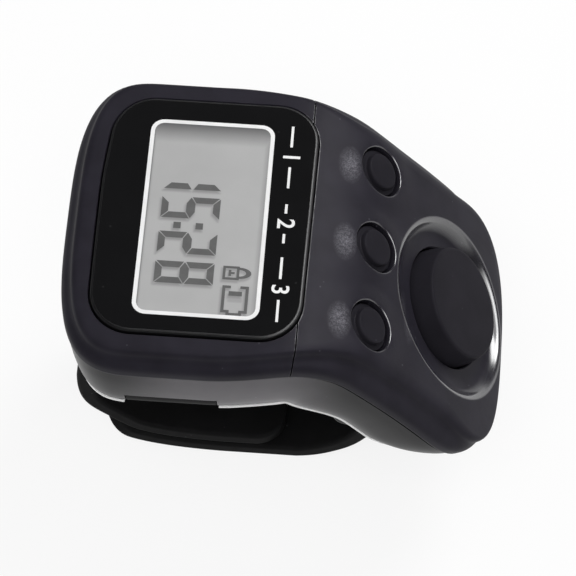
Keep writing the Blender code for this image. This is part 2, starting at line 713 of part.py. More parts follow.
def make_display_window():
    half_x, half_y = WINDOW_WIDTH / 2, WINDOW_LENGTH / 2
    z = (WINDOW_PROUD - WINDOW_THICKNESS, WINDOW_PROUD)
    block(
        "display_window", "gloss_window", level_frame(), (-half_x, half_x), (-half_y, half_y), z, WINDOW_CORNER,
        WINDOW_EDGE, 6,
    )
    top = z[0] - TAPE_THICKNESS
    inset = FIT_GAP
    half_x, half_y = half_x - inset, half_y - inset
    tape_z = (top - TAPE_THICKNESS, top)
    radius = WINDOW_CORNER - inset
    tape = block("window_tape", "foam", level_frame(), (-half_x, half_x), (-half_y, half_y), tape_z, radius)
    half_x, half_y = OPENING_WIDTH / 2 + inset, OPENING_LENGTH / 2 + inset
    z = (tape_z[0] - OVERRUN, tape_z[1] + OVERRUN)
    cut(tape, block("tape_hole", None, level_frame(), (-half_x, half_x), (-half_y, half_y), z))


def glass_top():
    return -CEILING - STACK_GAP


def guide_top():
    return glass_top() - 2 * GLASS_THICKNESS - STACK_GAP


def main_board_top():
    return guide_top() - GUIDE_THICKNESS - STACK_GAP


def port_heights():
    high = main_board_top() - BOARD_THICKNESS - STACK_GAP
    return high - PORT_HEIGHT, high


def holder_end():
    return GLASS_WIDTH / 2 + STACK_GAP + HOLDER_WALL


def make_display_stack():
    """The glass, the frame that holds it, and what lights it and joins it to the board."""
    flat = level_frame()
    half_x, half_y = GLASS_WIDTH / 2, GLASS_LENGTH / 2
    z = (glass_top() - GLASS_THICKNESS, glass_top())
    glass = block("lcd_panel", "display_glass", flat, (-half_x, half_x), (-half_y, half_y), z)
    z = (glass_top() - 2 * GLASS_THICKNESS, glass_top() - GLASS_THICKNESS / 2)
    shelf = half_x - GLASS_OVERHANG
    join(glass, block("rear_glass", None, flat, (-half_x, shelf), (-half_y, half_y), z))
    guide_x = (-half_x, shelf - STACK_GAP)
    guide_y = (GUIDE_SHORTER - half_y, half_y)
    block("light_guide", "clear_plastic", flat, guide_x, guide_y, (guide_top() - GUIDE_THICKNESS, guide_top()))
    low = main_board_top() + STACK_GAP
    led_y = (-half_y + FIT_GAP, -half_y + FIT_GAP + LED_SIZE[1])
    block("backlight_led", "white_plastic", flat, (-LED_SIZE[0] / 2, LED_SIZE[0] / 2), led_y, (low, low + LED_SIZE[2]))
    zebra_x = (half_x - FIT_GAP - ZEBRA_WIDTH, half_x - FIT_GAP)
    zebra_y = (-ZEBRA_LENGTH / 2, ZEBRA_LENGTH / 2)
    z = (low, glass_top() - GLASS_THICKNESS - STACK_GAP)
    block("zebra_strip", "connector_rubber", flat, zebra_x, zebra_y, z)
    outer_x, outer_y = holder_end(), half_y + STACK_GAP + HOLDER_WALL / 2
    z = (low, glass_top() - GLASS_THICKNESS / 2)
    holder = block("lcd_holder", "white_plastic", flat, (-outer_x, outer_x), (-outer_y, outer_y), z)
    x, y = half_x + STACK_GAP, half_y + STACK_GAP
    z = (low - OVERRUN, glass_top())
    cut(holder, block("holder_hollow", None, flat, (-x, x), (-y, y), z))


def make_main_board():
    """The main board and the pieces on its underside."""
    flat = level_frame()
    top = main_board_top()
    z = (top - BOARD_THICKNESS, top)
    half = BOARD_WIDTH / 2
    board = block("main_board", "circuit_board", flat, (BOARD_NECK_END, BOARD_END), (-half, half), z)
    neck = (-BOARD_NECK / 2, BOARD_NECK / 2)
    join(board, block("board_neck", None, flat, (BOARD_START, BOARD_NECK_END + OVERRUN), neck, z))
    under = z[0] - STACK_GAP
    for name, look, low, size in (
        ("battery", "battery_foil", BATTERY_LOW, BATTERY_SIZE),
        ("controller_chip", "chip_resin", CHIP_LOW, CHIP_SIZE),
        ("charge_chip", "chip_resin", CHARGE_CHIP_LOW, CHARGE_CHIP_SIZE),
    ):
        x, y = (low[0], low[0] + size[0]), (low[1], low[1] + size[1])
        block(name, look, flat, x, y, (under - size[2], under), BATTERY_ROUND if name == "battery" else 0.0, 0.0, 3)
    low = under - BATTERY_SIZE[2] - STACK_GAP
    x = (BATTERY_LOW[0] + PAD_INSET, BATTERY_LOW[0] + BATTERY_SIZE[0] - PAD_INSET)
    y = (BATTERY_LOW[1] + PAD_INSET, BATTERY_LOW[1] + BATTERY_SIZE[1] - PAD_INSET)
    block("battery_pad", "foam", flat, x, y, (low - PAD_THICKNESS, low))
    can = cross_frame(CRYSTAL_AT[0], CRYSTAL_AT[1], under - CRYSTAL_RADIUS)
    drum("crystal", "bright_steel", can, CRYSTAL_RADIUS, 0.0, CRYSTAL_LENGTH - CRYSTAL_RADIUS, SCREW_STEPS)


def make_charging_port():
    low, high = port_heights()
    half = PORT_WIDTH / 2
    x = (PORT_MIDDLE - half, PORT_MIDDLE + half)
    y = (-PORT_FACE, -PORT_FACE + PORT_REACH)
    port = block("charging_port", "bright_steel", level_frame(), x, y, (low, high))
    x = (x[0] + PORT_WALL, x[1] - PORT_WALL)
    y = (-PORT_FACE - OVERRUN, y[1] - PORT_WALL)
    cut(port, block("port_hollow", None, level_frame(), x, y, (low + PORT_WALL, high - PORT_WALL)))


def make_port_cover():
    """A rubber plug whose outer side follows the base's rim."""
    cover = notch_block("port_cover", "silicone", PLUG_GAP, PLUG_LOW, NOTCH_FLOOR + PLUG_GAP)
    rim = shell("rim_solid", None, base_rings(0.0, 0.0, PARTING_DEPTH + PARTING_GAP)[::-1])
    cut(cover, rim, "INTERSECT")
    hinge_x = PORT_MIDDLE - NOTCH_WIDTH / 2 + PLUG_GAP + PLUG_HINGE_INSET
    set_pivot(cover, Vector((hinge_x, -PLUG_HINGE_AT, -NOTCH_TOP - PLUG_GAP)))


def small_key_points():
    """A small key: raised disc, recessed step round it, flange under the panel and foot."""
    step = -SMALL_SKIRT_DEEP
    under = -CEILING - FIT_GAP
    foot = -key_foot_depth(SMALL_KEY_AT, SMALL_SWITCH)
    return [
        (0.0, SMALL_PROUD),
        (SMALL_DISC - KEY_EDGE, SMALL_PROUD),
        (SMALL_DISC, SMALL_PROUD - KEY_EDGE),
        (SMALL_DISC, step),
        (SMALL_SKIRT - KEY_EDGE, step),
        (SMALL_SKIRT, step - KEY_EDGE),
        (SMALL_SKIRT, under),
        (SMALL_FLANGE, under),
        (SMALL_FLANGE, under - FLANGE_THICKNESS),
        (SMALL_PLUNGER * 2, under - FLANGE_THICKNESS),
        (SMALL_PLUNGER * 2, foot),
        (0.0, foot),
    ]


def count_key_points():
    """The count key: flat disc, rounded shoulder, skirt, flange under the collar and foot."""
    under = -COLLAR_DEPTH - FIT_GAP
    foot = -key_foot_depth(COUNT_AT, COUNT_SWITCH)
    points = [(0.0, COUNT_PROUD)]
    rise = COUNT_SKIRT - COUNT_DISC
    for i in range(6):
        turn = math.pi / 2 * i / 5
        points.append((COUNT_DISC + rise * math.sin(turn), COUNT_PROUD - rise * (1 - math.cos(turn))))
    return points + [
        (COUNT_SKIRT, under),
        (COUNT_FLANGE, under),
        (COUNT_FLANGE, under - FLANGE_THICKNESS),
        (COUNT_PLUNGER * 2, under - FLANGE_THICKNESS),
        (COUNT_PLUNGER * 2, foot),
        (0.0, foot),
    ]


def key_board_frame():
    return frame_at(KEY_BOARD_AT, 0.0, KEY_BOARD_DEPTH)


def on_key_board(s, t):
    """Where a key's axis meets the key board's top, in that board's frame."""
    key = key_board_frame().inverted() @ frame_at(s, t)
    origin, direction = key.to_translation(), key.to_3x3() @ Vector((0.0, 0.0, -1.0))
    return origin + direction * (origin.z / -direction.z)


def key_board_distance(s):
    """How far a key's axis runs from the top face to the key board."""
    return (on_key_board(s, 0.0) - (key_board_frame().inverted() @ frame_at(s)).to_translation()).length


def key_foot_depth(s, switch):
    return key_board_distance(s) - STACK_GAP - switch[2] - PLUNGER_PROUD - FIT_GAP


def make_keys():
    turned("count_button", "key_plastic", frame_at(COUNT_AT), count_key_points(), DISH_STEPS)
    for name, frame in small_key_frames():
        turned(f"key_{name}", "key_plastic", frame, small_key_points(), HOLE_STEPS)


def make_switch(name, s, t, size, plunger):
    """A switch on the key board, with the well that its plunger goes down."""
    spot = on_key_board(s, t)
    frame = key_board_frame() @ level_frame(spot.x, spot.y)
    half_x, half_y = size[0] / 2, size[1] / 2
    z = (STACK_GAP, STACK_GAP + size[2])
    switch = block(f"{name}_switch", "chip_resin", frame, (-half_x, half_x), (-half_y, half_y), z)
    well_z = (z[0] + 2 * STACK_GAP, z[1] + OVERRUN)
    cut(switch, drum(f"{name}_well", None, frame, plunger + PLUNGER_GAP, *well_z, SCREW_STEPS))
    stem_z = (z[1] - PLUNGER_SUNK + STACK_GAP, z[1] + PLUNGER_PROUD)
    drum(f"{name}_plunger", "white_plastic", frame, plunger, *stem_z, SCREW_STEPS)


def make_key_board():
    """The key board with its switches, and the flat cable to the main board."""
    frame = key_board_frame()
    z = (-KEY_BOARD_THICKNESS, 0.0)
    wide = (-KEY_BOARD_HALF, KEY_BOARD_HALF)
    neck = (-KEY_BOARD_NECK_HALF, KEY_BOARD_NECK_HALF)
    board = block("key_board", "circuit_board", frame, (KEY_BOARD_START, KEY_BOARD_SPLIT), wide, z)
    join(board, block("key_board_neck", None, frame, (KEY_BOARD_SPLIT - OVERRUN, KEY_BOARD_END), neck, z))
    make_switch("count", COUNT_AT, 0.0, COUNT_SWITCH, COUNT_PLUNGER)
    for name, t in (("rear", SMALL_KEY_PITCH), ("middle", 0.0), ("front", -SMALL_KEY_PITCH)):
        make_switch(name, SMALL_KEY_AT, t, SMALL_SWITCH, SMALL_PLUNGER)
    start = Vector((holder_end() + FIT_GAP, 0.0, main_board_top() + STACK_GAP + RIBBON_THICKNESS / 2))
    lap = Vector((BOARD_END, 0.0, start.z))
    low = -KEY_BOARD_THICKNESS - STACK_GAP - RIBBON_THICKNESS / 2
    near = frame @ Vector((KEY_BOARD_START, 0.0, low))
    far = frame @ Vector((KEY_BOARD_START + RIBBON_LAP, 0.0, low))
    path = smooth_path([start, lap, (lap + near) / 2, near, far], RIBBON_LAP / 3)
    band("ribbon_link", "amber_film", path, RIBBON_THICKNESS, lambda u: RIBBON_WIDTH / 2, 0.0)


def make_screws():
    for number, frame, s in screw_frames():
        seat = -body_depth(s) + SCREW_RECESS
        head_top, head_low = seat - STACK_GAP, seat - STACK_GAP - SCREW_HEAD_HEIGHT
        points = [
            (0.0, seat + SCREW_LENGTH),
            (SCREW_SHANK / 2, seat + SCREW_LENGTH),
            (SCREW_SHANK, seat + SCREW_LENGTH - SCREW_SHANK),
            (SCREW_SHANK, head_top),
            (SCREW_HEAD, head_top),
            (SCREW_HEAD, head_low + KEY_EDGE),
            (SCREW_HEAD - KEY_EDGE, head_low),
            (0.0, head_low),
        ]
        screw = turned(f"screw_{number}", "bright_steel", frame, points, SCREW_STEPS)
        half = SCREW_SLOT / 2
        for way, (x, y) in (("long", (SCREW_SLOT_HALF, half)), ("cross", (half, SCREW_SLOT_HALF))):
            z = (head_low - OVERRUN, head_low + SCREW_HEAD_HEIGHT / 2)
            cut(screw, block(f"screw_{number}_{way}", None, frame, (-x, x), (-y, y), z))


def smooth_path(points, step):
    """Points a step apart on a smooth curve through the given points."""
    path = []
    ends = [points[0] * 2 - points[1]] + list(points) + [points[-1] * 2 - points[-2]]
    for i in range(1, len(points)):
        a, b, c, d = ends[i - 1 : i + 3]
        count = max(1, round((c - b).length / step))
        for j in range(count):
            u = j / count
            path.append(
                (b * 2 + (c - a) * u + (a * 2 - b * 5 + c * 4 - d) * u * u + (b * 3 - a - c * 3 + d) * u**3) / 2
            )
    return path + [points[-1]]


def path_normals(path):
    """A unit normal in the XZ plane at each point of a path, to the left of its way forward."""
    normals = []
    for i in range(len(path)):
        way = path[min(i + 1, len(path) - 1)] - path[max(i - 1, 0)]
        normals.append(Vector((-way.z, 0.0, way.x)).normalized())
    return normals


def band(name, look, path, thickness, half, edge):
    """A flat band along a path in the XZ plane, half wide at each run, with its long edges eased."""
    shape = bmesh.new()
    loops = []
    run = 0.0
    for i, (point, normal) in enumerate(zip(path, path_normals(path))):
        run += (path[i] - path[i - 1]).length if i else 0.0
        y, h = half(run), thickness / 2
        section = [(y, h - edge), (y - edge, h), (edge - y, h), (-y, h - edge)]
        section += [(-y, edge - h), (edge - y, -h), (y - edge, -h), (y, edge - h)]
        if not edge:
            section = [(y, h), (-y, h), (-y, -h), (y, -h)]
        loops.append([shape.verts.new(point + normal * b + Vector((0.0, a, 0.0))) for a, b in section])
    count = len(loops[0])
    for first, second in zip(loops, loops[1:]):
        for i in range(count):
            shape.faces.new((first[i], first[(i + 1) % count], second[(i + 1) % count], second[i]))
    shape.faces.new(loops[0])
    shape.faces.new(loops[-1][::-1])
    return place(name, finished_mesh(name, shape), look, level_frame())


def path_length(path):
    return sum((b - a).length for a, b in zip(path, path[1:]))


def under_finger_path():
    """The outer band's middle line, from its tip to the end of its flat foot."""
    tip_x, rise = STRAP_TIP
    left, right = STRAP_FLAT
    tip = Vector((tip_x, 0.0, STRAP_BOTTOM + rise))
    run = left - tip_x
    curve = [Vector((tip_x + run * a, 0.0, STRAP_BOTTOM + rise * b)) for a, b in STRAP_TIP_SHARES]
    return [tip] + curve + [Vector((left, 0.0, STRAP_BOTTOM)), Vector((right, 0.0, STRAP_BOTTOM))]


def levelled(path):
    """The path with its foot made flat, where a smooth curve would sag under it."""
    return [Vector((point.x, point.y, max(point.z, STRAP_BOTTOM))) for point in path]


def right_band_path():
    pin = right_pin_frame().to_translation()
    drop = pin.z - STRAP_BOTTOM
    right = STRAP_FLAT[1]
    reach = STRAP_RIGHT_FACE - right
    rise = [Vector((right + reach * a, 0.0, STRAP_BOTTOM + drop * b)) for a, b in STRAP_RIGHT_SHARES]
    return levelled(smooth_path(under_finger_path() + rise + [pin], BAND_STEP))[::-1]


def left_band_path():
    """The inner band's middle line: down the left side, then inside the outer band."""
    pin = left_pin_frame().to_translation()
    under = levelled(smooth_path(under_finger_path(), BAND_STEP))
    inside = []
    for point, normal in zip(under, path_normals(under)):
        inside.append(point + normal * (STRAP_THICKNESS + STRAP_LAP_GAP))
    inside = [p for p in inside if p.x < STRAP_END]
    drop = pin.z - inside[0].z
    side = []
    for (a, b), end in zip(STRAP_LEFT_SHARES, (pin, pin, inside[0])):
        side.append(Vector((STRAP_LEFT_FACE + (end.x - STRAP_LEFT_FACE) * a, 0.0, pin.z - drop * b)))
    return smooth_path([pin] + side + [inside[0]], BAND_STEP) + inside[1:]


def rounded_end(length):
    """Half width of a band along its run, drawn in at its far end as a round tip."""

    def half(run):
        share = max(0.0, 1 - (length - run) / STRAP_CORNER)
        return STRAP_HALF - STRAP_CORNER * (1 - math.sqrt(1 - share * share))

    return half


def add_barrel(strap, name, frame):
    """The barrel at a band's end, bored for its pin."""
    across = frame @ cross_frame(0.0, 0.0, 0.0)
    join(strap, drum(f"{name}_barrel", None, across, BARREL_RADIUS, -STRAP_HALF, STRAP_HALF, HOLE_STEPS))
    reach = STRAP_HALF + OVERRUN
    cut(strap, drum(f"{name}_bore", None, across, PIN_RADIUS + PIN_GAP, -reach, reach, SCREW_STEPS))
    half = STRAP_HALF + LUG_GAP + LUG_THICKNESS
    drum(f"strap_pin_{name}", "bright_steel", across, PIN_RADIUS, -half, half, SCREW_STEPS)


def make_straps():
    path = left_band_path()
    left = band("strap_left", "silicone", path, STRAP_THICKNESS, rounded_end(path_length(path)), STRAP_ROUND)
    stud_top = STRAP_BOTTOM + STRAP_THICKNESS + STRAP_LAP_GAP
    low = stud_top - STRAP_THICKNESS / 2 - STUD_HEIGHT
    join(left, drum("stud", None, level_frame(STUD_AT), STUD_RADIUS, low, stud_top, SCREW_STEPS))
    add_barrel(left, "left", left_pin_frame())
    set_pivot(left, left_pin_frame().to_translation())
    path = right_band_path()
    right = band("strap_right", "silicone", path, STRAP_THICKNESS, rounded_end(path_length(path)), STRAP_ROUND)
    normals = path_normals(path)
    for number in (-1, 0, 1):
        x = STUD_AT + number * SLOT_PITCH
        nearest = min((i for i in range(len(path)) if path[i].z < STRAP_BOTTOM / 2), key=lambda i: abs(path[i].x - x))
        normal = normals[nearest]
        tilt = math.atan2(-normal.x, -normal.z)
        frame = Matrix.Translation((x, 0.0, path[nearest].z)) @ Matrix.Rotation(tilt, 4, "Y")
        half_x, half_y, half_z = SLOT_HALF_LENGTH, SLOT_HALF_WIDTH, STRAP_THICKNESS
        name = f"slot_{number + 2}"
        cut(right, block(name, None, frame, (-half_x, half_x), (-half_y, half_y), (-half_z, half_z), half_y * 0.98))
    add_barrel(right, "right", right_pin_frame())
    set_pivot(right, right_pin_frame().to_translation())


def stand_on_origin():
    """Moves the whole object so that the middle of its footprint's box is the origin."""
    bpy.context.view_layer.update()
    graph = bpy.context.evaluated_depsgraph_get()
    corners = []
    for obj in PARTS.objects:
        if obj.type != "MESH":
            continue
        seen = obj.evaluated_get(graph)
        mesh = seen.to_mesh()
        corners += [seen.matrix_world @ vertex.co for vertex in mesh.vertices]
        seen.to_mesh_clear()
    low = [min(point[axis] for point in corners) for axis in range(3)]
    high = [max(point[axis] for point in corners) for axis in range(3)]
    ROOT.location = (-(low[0] + high[0]) / 2, -(low[1] + high[1]) / 2, -low[2])


make_top_housing()
make_key_panel()
make_base_shell()
make_display_window()
make_display_stack()
make_main_board()
make_charging_port()
make_port_cover()
make_keys()
make_key_board()
make_screws()
make_straps()
stand_on_origin()
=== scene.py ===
"""Looks for a digital tally counter that is worn on a finger like a ring.

The body is a slab that is flat under the display and bends down past the finger, where the keys are.
Its shape is worked out flat, as a place s along it, t across it and a depth d under its top face, and
is then laid along the bent line, as the solids are. Sizes are in metres.
"""

import math

import bpy
import numpy as np
from mathutils import Matrix, Vector


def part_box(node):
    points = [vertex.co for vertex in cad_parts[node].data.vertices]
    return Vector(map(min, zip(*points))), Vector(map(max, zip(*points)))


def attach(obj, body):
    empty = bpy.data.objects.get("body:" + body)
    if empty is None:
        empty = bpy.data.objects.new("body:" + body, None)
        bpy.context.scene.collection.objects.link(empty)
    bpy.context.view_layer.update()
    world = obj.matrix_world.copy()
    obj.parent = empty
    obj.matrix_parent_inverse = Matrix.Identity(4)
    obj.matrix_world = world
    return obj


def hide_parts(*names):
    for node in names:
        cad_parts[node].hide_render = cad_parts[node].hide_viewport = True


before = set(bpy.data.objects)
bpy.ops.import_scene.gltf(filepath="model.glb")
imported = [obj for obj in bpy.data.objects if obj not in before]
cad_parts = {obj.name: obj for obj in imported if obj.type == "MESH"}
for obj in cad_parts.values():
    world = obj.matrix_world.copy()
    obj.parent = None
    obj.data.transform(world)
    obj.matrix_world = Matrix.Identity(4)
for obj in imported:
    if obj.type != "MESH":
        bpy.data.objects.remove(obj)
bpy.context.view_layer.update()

MM = 0.001

# The body's line and its outline
DISPLAY_END = 12.8 * MM
FLAT_RUN = 7.6 * MM
SHOULDER_RADIUS = 11.5 * MM
SHOULDER_TILT = math.radians(46.4)
SLOPE_RADIUS = 88.0 * MM
SLOPE_RUN = 21.4 * MM
SLOPE_START = FLAT_RUN + SHOULDER_RADIUS * SHOULDER_TILT
SHOULDER_END = FLAT_RUN + SHOULDER_RADIUS * math.sin(SHOULDER_TILT)
TIP = SLOPE_START + SLOPE_RUN
MIDDLE = (TIP - DISPLAY_END) / 2
HALF_WIDTH = 15.6 * MM
SLOPE_HALF_WIDTH = 13.9 * MM
WAIST_START = 1.0 * MM
WAIST_RUN = 14.0 * MM
DISPLAY_CORNER = 8.0 * MM
DISPLAY_CORNER_POWER = 3.2
TIP_CORNER = 10.0 * MM
TIP_CORNER_POWER = (2.45, 3.1)
SWELL, SWELL_RISE, SWELL_RUN, SWELL_FALL = 0.38 * MM, 9.0 * MM, 14.0 * MM, 9.0 * MM

# Depths and edges of the three shells
DISPLAY_DEPTH = 10.6 * MM
SLOPE_DEPTH = 9.2 * MM
DEPTH_START = 17.0 * MM
DEPTH_RUN = 7.0 * MM
TIP_DEPTH = 4.5 * MM
TIP_DEPTH_RUN = 10.9 * MM
PARTING_DEPTH = 3.0 * MM
PARTING_GAP = 0.15 * MM
DISPLAY_EDGE_INSET = 1.65 * MM
SLOPE_EDGE_INSET = 3.0 * MM
TIP_EDGE_INSET = 0.5 * MM
EDGE_START = 8.0 * MM
EDGE_RUN = 9.0 * MM
TIP_EDGE_RUN = 11.0 * MM
BASE_INSET = 2.2 * MM
CEILING = 1.9 * MM
SIDE_WALL = 1.4 * MM
CEILING_ROUND = 0.5 * MM
FLOOR = 1.1 * MM
SEAM = 9.3 * MM
SEAM_GAP = 0.12 * MM
SEAM_LAP_DEPTH, SEAM_LAP_HALF = 0.4 * MM, 0.6 * MM
OVERRUN = 1.0 * MM
FIT_GAP = 0.15 * MM
BODY_STEPS = 240
PLATE_STEPS = 192
EDGE_SHARES = (
    (1.0, 0.0),
    (0.84, 0.015),
    (0.68, 0.06),
    (0.58, 0.15),
    (0.53, 0.27),
    (0.40, 0.37),
    (0.18, 0.48),
    (0.04, 0.60),
    (0.0, 0.74),
    (0.0, 0.90),
    (0.07, 1.0),
)
# Painted shade on the base: how much darker it is drawn toward its two ends
BASE_FADE, BASE_FADE_TIP, BASE_FADE_REAR, BASE_FADE_RUN = 0.95, 7.0 * MM, 0.0, 8.0 * MM
# Place and size of the pale bead along the base's rim, a painted reflection
BEAD_FLAT, BEAD_SLOPE, BEAD_RADIUS = (0.54, 0.865), (0.68, 0.915), 0.17 * MM
BASE_SHARES = ((0.10, 0.0), (0.12, 0.22), (0.20, 0.46), (0.33, 0.68), (0.53, 0.84), (0.76, 0.94), (1.0, 1.0))

# Window and the print on it
WINDOW_WIDTH = 19.9 * MM
WINDOW_LENGTH = 25.2 * MM
WINDOW_CORNER = 4.0 * MM
WINDOW_THICKNESS = 1.2 * MM
WINDOW_PROUD = 0.3 * MM
WINDOW_BOW = 0.2 * MM
WINDOW_EASE = 0.28 * MM
OPENING_HALF = (6.2 * MM, 10.7 * MM)
WINDOW_LEFT_PULL, WINDOW_RIGHT_PULL, WINDOW_CORNER_PULL = 0.34 * MM, 0.42 * MM, 0.45 * MM
PRINT = 0.012 * MM
FRAME_OUTER = (11.57 * MM, 21.0 * MM)
FRAME_LINE = 0.38 * MM
FRAME_CORNER = 1.25 * MM
FRAME_MIDDLE = -0.27 * MM
DIGIT_HEIGHT = 5.5 * MM
DIGIT_WIDTH = 2.42 * MM
DIGIT_LOW = -4.1 * MM
SEGMENT = 0.74 * MM
SEGMENT_GAP = 0.05 * MM
NUMBER_AT, NUMBER_SIZE = 7.4 * MM, 2.25 * MM
NUMBER_BAR = (7.28 * MM, 7.52 * MM)
BAR_START = 1.1

# Keys
SMALL_KEY_AT = SLOPE_START - 0.13 * MM
SMALL_KEY_PITCH = 8.35 * MM
SMALL_HOLE = 2.45 * MM
SMALL_SKIRT = 2.28 * MM
SMALL_DISC = 1.75 * MM
SMALL_PROUD = 0.25 * MM
COUNT_AT = TIP - 9.23 * MM
COUNT_HOLE = 5.95 * MM
COUNT_SKIRT = 5.75 * MM
COUNT_DISC = 5.4 * MM
COUNT_PROUD = 0.9 * MM
DISH_RADIUS = 8.95 * MM
DISH_SHIFT = (-0.3 * MM, -0.45 * MM)
DISH_FLOOR = 6.7 * MM
DISH_LIP, DISH_LIP_TURN = 0.75 * MM, math.radians(56.0)
SMALL_LIP = 0.22 * MM
LIP_SINK = 0.012 * MM
MOUND_HEIGHT = 0.22 * MM
MOUND_REACH = 2.6 * MM

# Notch in the base's rim, and the screws in its floor
PORT_MIDDLE = -2.0 * MM
PORT_WIDTH = 7.6 * MM
NOTCH_WIDTH = 8.5 * MM
NOTCH_TOP = 7.5 * MM
NOTCH_FLOOR = 13.2 * MM
PLUG_GAP, PLUG_LOW, PLUG_EASE = 0.12 * MM, 10.3 * MM, 0.15 * MM
SCREW_PLACES = ((-8.1 * MM, 11.0 * MM), (TIP - 13.23 * MM, 10.0 * MM))
SCREW_RECESS = 0.9 * MM
RECESS_RADIUS = 1.15 * MM

# Strap, its pins and its lugs
STRAP_HALF = 7.4 * MM
STRAP_THICKNESS = 1.7 * MM
STRAP_ROUND = 0.4 * MM
STRAP_LAP_GAP = 0.3 * MM
BARREL_RADIUS = 1.6 * MM
PIN_BORE = 0.63 * MM
LUG_THICKNESS = 2.0 * MM
LUG_GAP = 0.25 * MM
LUG_RADIUS = 1.75 * MM
LEFT_PIN = (-9.2 * MM, 1.9 * MM)
RIGHT_PIN = (TIP - 9.93 * MM, 1.9 * MM)
STRAP_LEFT_FACE = -11.25 * MM
STRAP_RIGHT_FACE = 16.5 * MM
STRAP_BOTTOM = -31.25 * MM
STRAP_FLAT = (1.6 * MM, 9.0 * MM)
STRAP_CORNER = 3.0 * MM
STRAP_TIP = (-9.4 * MM, 3.4 * MM)
STRAP_TIP_SHARES = ((0.20, 0.48), (0.53, 0.15))
STRAP_RIGHT_SHARES = ((0.53, 0.145), (0.84, 0.365), (1.0, 0.66))
STRAP_LEFT_SHARES = ((0.30, 0.22), (0.0, 0.5), (0.17, 0.78))
STRAP_END = 8.2 * MM
STUD_AT = 4.2 * MM
STUD_RADIUS = 1.1 * MM
STUD_HEIGHT = 1.5 * MM
SLOT_HALF_WIDTH = 1.35 * MM
SLOT_HALF_LENGTH = 3.3 * MM
SLOT_PITCH = 8.3 * MM
SLOT_ROUND = 0.98
BAND_STEP = 0.35 * MM
LUG_EASE, STUD_EASE, BARREL_EASE = 0.22 * MM, 0.25 * MM, 0.3 * MM

# The camera, as a place and turn round the middle of the window
CAMERA_TURN = math.radians(3.941)
CAMERA_RISE = math.radians(59.464)
CAMERA_ROLL = math.radians(0.269)
CAMERA_DISTANCE = 300 * MM
CAMERA_SHIFT = (7.635 * MM, -6.496 * MM)
CAMERA_LENS = 204.375

# How far the floor lies under the strap
FLOOR_GAP = 0.05 * MM


# ---------------------------------------------------------------- the body's shape


def window_middle():
    low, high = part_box("display_window")
    return Vector(((low.x + high.x) / 2, (low.y + high.y) / 2, high.z - WINDOW_PROUD))


ORIGIN = window_middle()


def smooth(value):
    value = min(1.0, max(0.0, value))
    return value * value * (3 - 2 * value)


def blend(first, second, share):
    return first + (second - first) * smooth(share)


def profile(s):
    """Place and tilt of the top face's middle line at s."""
    if s <= FLAT_RUN:
        return s, 0.0, 0.0
    if s <= SLOPE_START:
        tilt = (s - FLAT_RUN) / SHOULDER_RADIUS
        return FLAT_RUN + SHOULDER_RADIUS * math.sin(tilt), SHOULDER_RADIUS * (math.cos(tilt) - 1), tilt
    tilt = SHOULDER_TILT + (s - SLOPE_START) / SLOPE_RADIUS
    x = SHOULDER_END + SLOPE_RADIUS * (math.sin(tilt) - math.sin(SHOULDER_TILT))
    z = SHOULDER_RADIUS * (math.cos(SHOULDER_TILT) - 1)
    return x, z - SLOPE_RADIUS * (math.cos(SHOULDER_TILT) - math.cos(tilt)), tilt


def along_at(x):
    """The place along the body where its top face is at x."""
    if x <= FLAT_RUN:
        return x
    if x <= SHOULDER_END:
        return FLAT_RUN + SHOULDER_RADIUS * math.asin((x - FLAT_RUN) / SHOULDER_RADIUS)
    sine = (x - SHOULDER_END) / SLOPE_RADIUS + math.sin(SHOULDER_TILT)
    return SLOPE_START + SLOPE_RADIUS * (math.asin(min(1.0, sine)) - SHOULDER_TILT)


def lay(s, t, d):
    """The point at s along the body, t across it and d under its top face."""
    x, z, tilt = profile(s)
    return Vector((x - d * math.sin(tilt), t, z - d * math.cos(tilt)))


def frame_at(s, t=0.0, depth=0.0):
    """A place on the body whose local z is square to the top face."""
    return Matrix.Translation(ORIGIN + lay(s, t, depth)) @ Matrix.Rotation(profile(s)[2], 4, "Y")


def half_width(s):
    return blend(HALF_WIDTH, SLOPE_HALF_WIDTH, (s - WAIST_START) / WAIST_RUN)


def body_depth(s):
    depth = blend(DISPLAY_DEPTH, SLOPE_DEPTH, (s - DEPTH_START) / DEPTH_RUN)
    return blend(depth, TIP_DEPTH, (s - TIP + TIP_DEPTH_RUN) / TIP_DEPTH_RUN)


def edge_inset(s):
    inset = blend(DISPLAY_EDGE_INSET, SLOPE_EDGE_INSET, (s - EDGE_START) / EDGE_RUN)
    return blend(inset, TIP_EDGE_INSET, (s - TIP + TIP_EDGE_RUN) / TIP_EDGE_RUN)


def corner(turn, radius, width, power):
    """Place in from the end, and across, on one rounded corner of the outline."""
    along = radius * (1 - max(0.0, math.cos(turn)) ** (2 / power))
    return along, width * math.sin(turn) ** (2 / power)


def outline_side(power, swell, steps=60):
    """One side of the outline as close (s, t) points, from the display end to the tip."""
    turns = [math.pi / 2 * (i / steps) ** 1.5 for i in range(steps + 1)]
    points = []
    for turn in turns[:-1]:
        along, t = corner(turn, DISPLAY_CORNER, HALF_WIDTH, DISPLAY_CORNER_POWER)
        points.append((along - DISPLAY_END, t))
    start, end = DISPLAY_CORNER - DISPLAY_END, TIP - TIP_CORNER
    for i in range(2 * steps):
        s = start + (end - start) * i / (2 * steps)
        points.append((s, half_width(s)))
    for turn in reversed(turns):
        along, t = corner(turn, TIP_CORNER, SLOPE_HALF_WIDTH, power)
        points.append((TIP - along, t))
    fuller = [swell * smooth(s / SWELL_RISE) * (1 - smooth((s - SWELL_RUN) / SWELL_FALL)) for s, _ in points]
    return [(s, t + more) for (s, t), more in zip(points, fuller)]


def outline_line():
    """The body's outline: its far side is a little fuller at the waist and rounder at the tip."""
    far, near = outline_side(TIP_CORNER_POWER[0], SWELL), outline_side(TIP_CORNER_POWER[1], 0.0)
    return far + [(s, -t) for s, t in reversed(near[1:-1])]


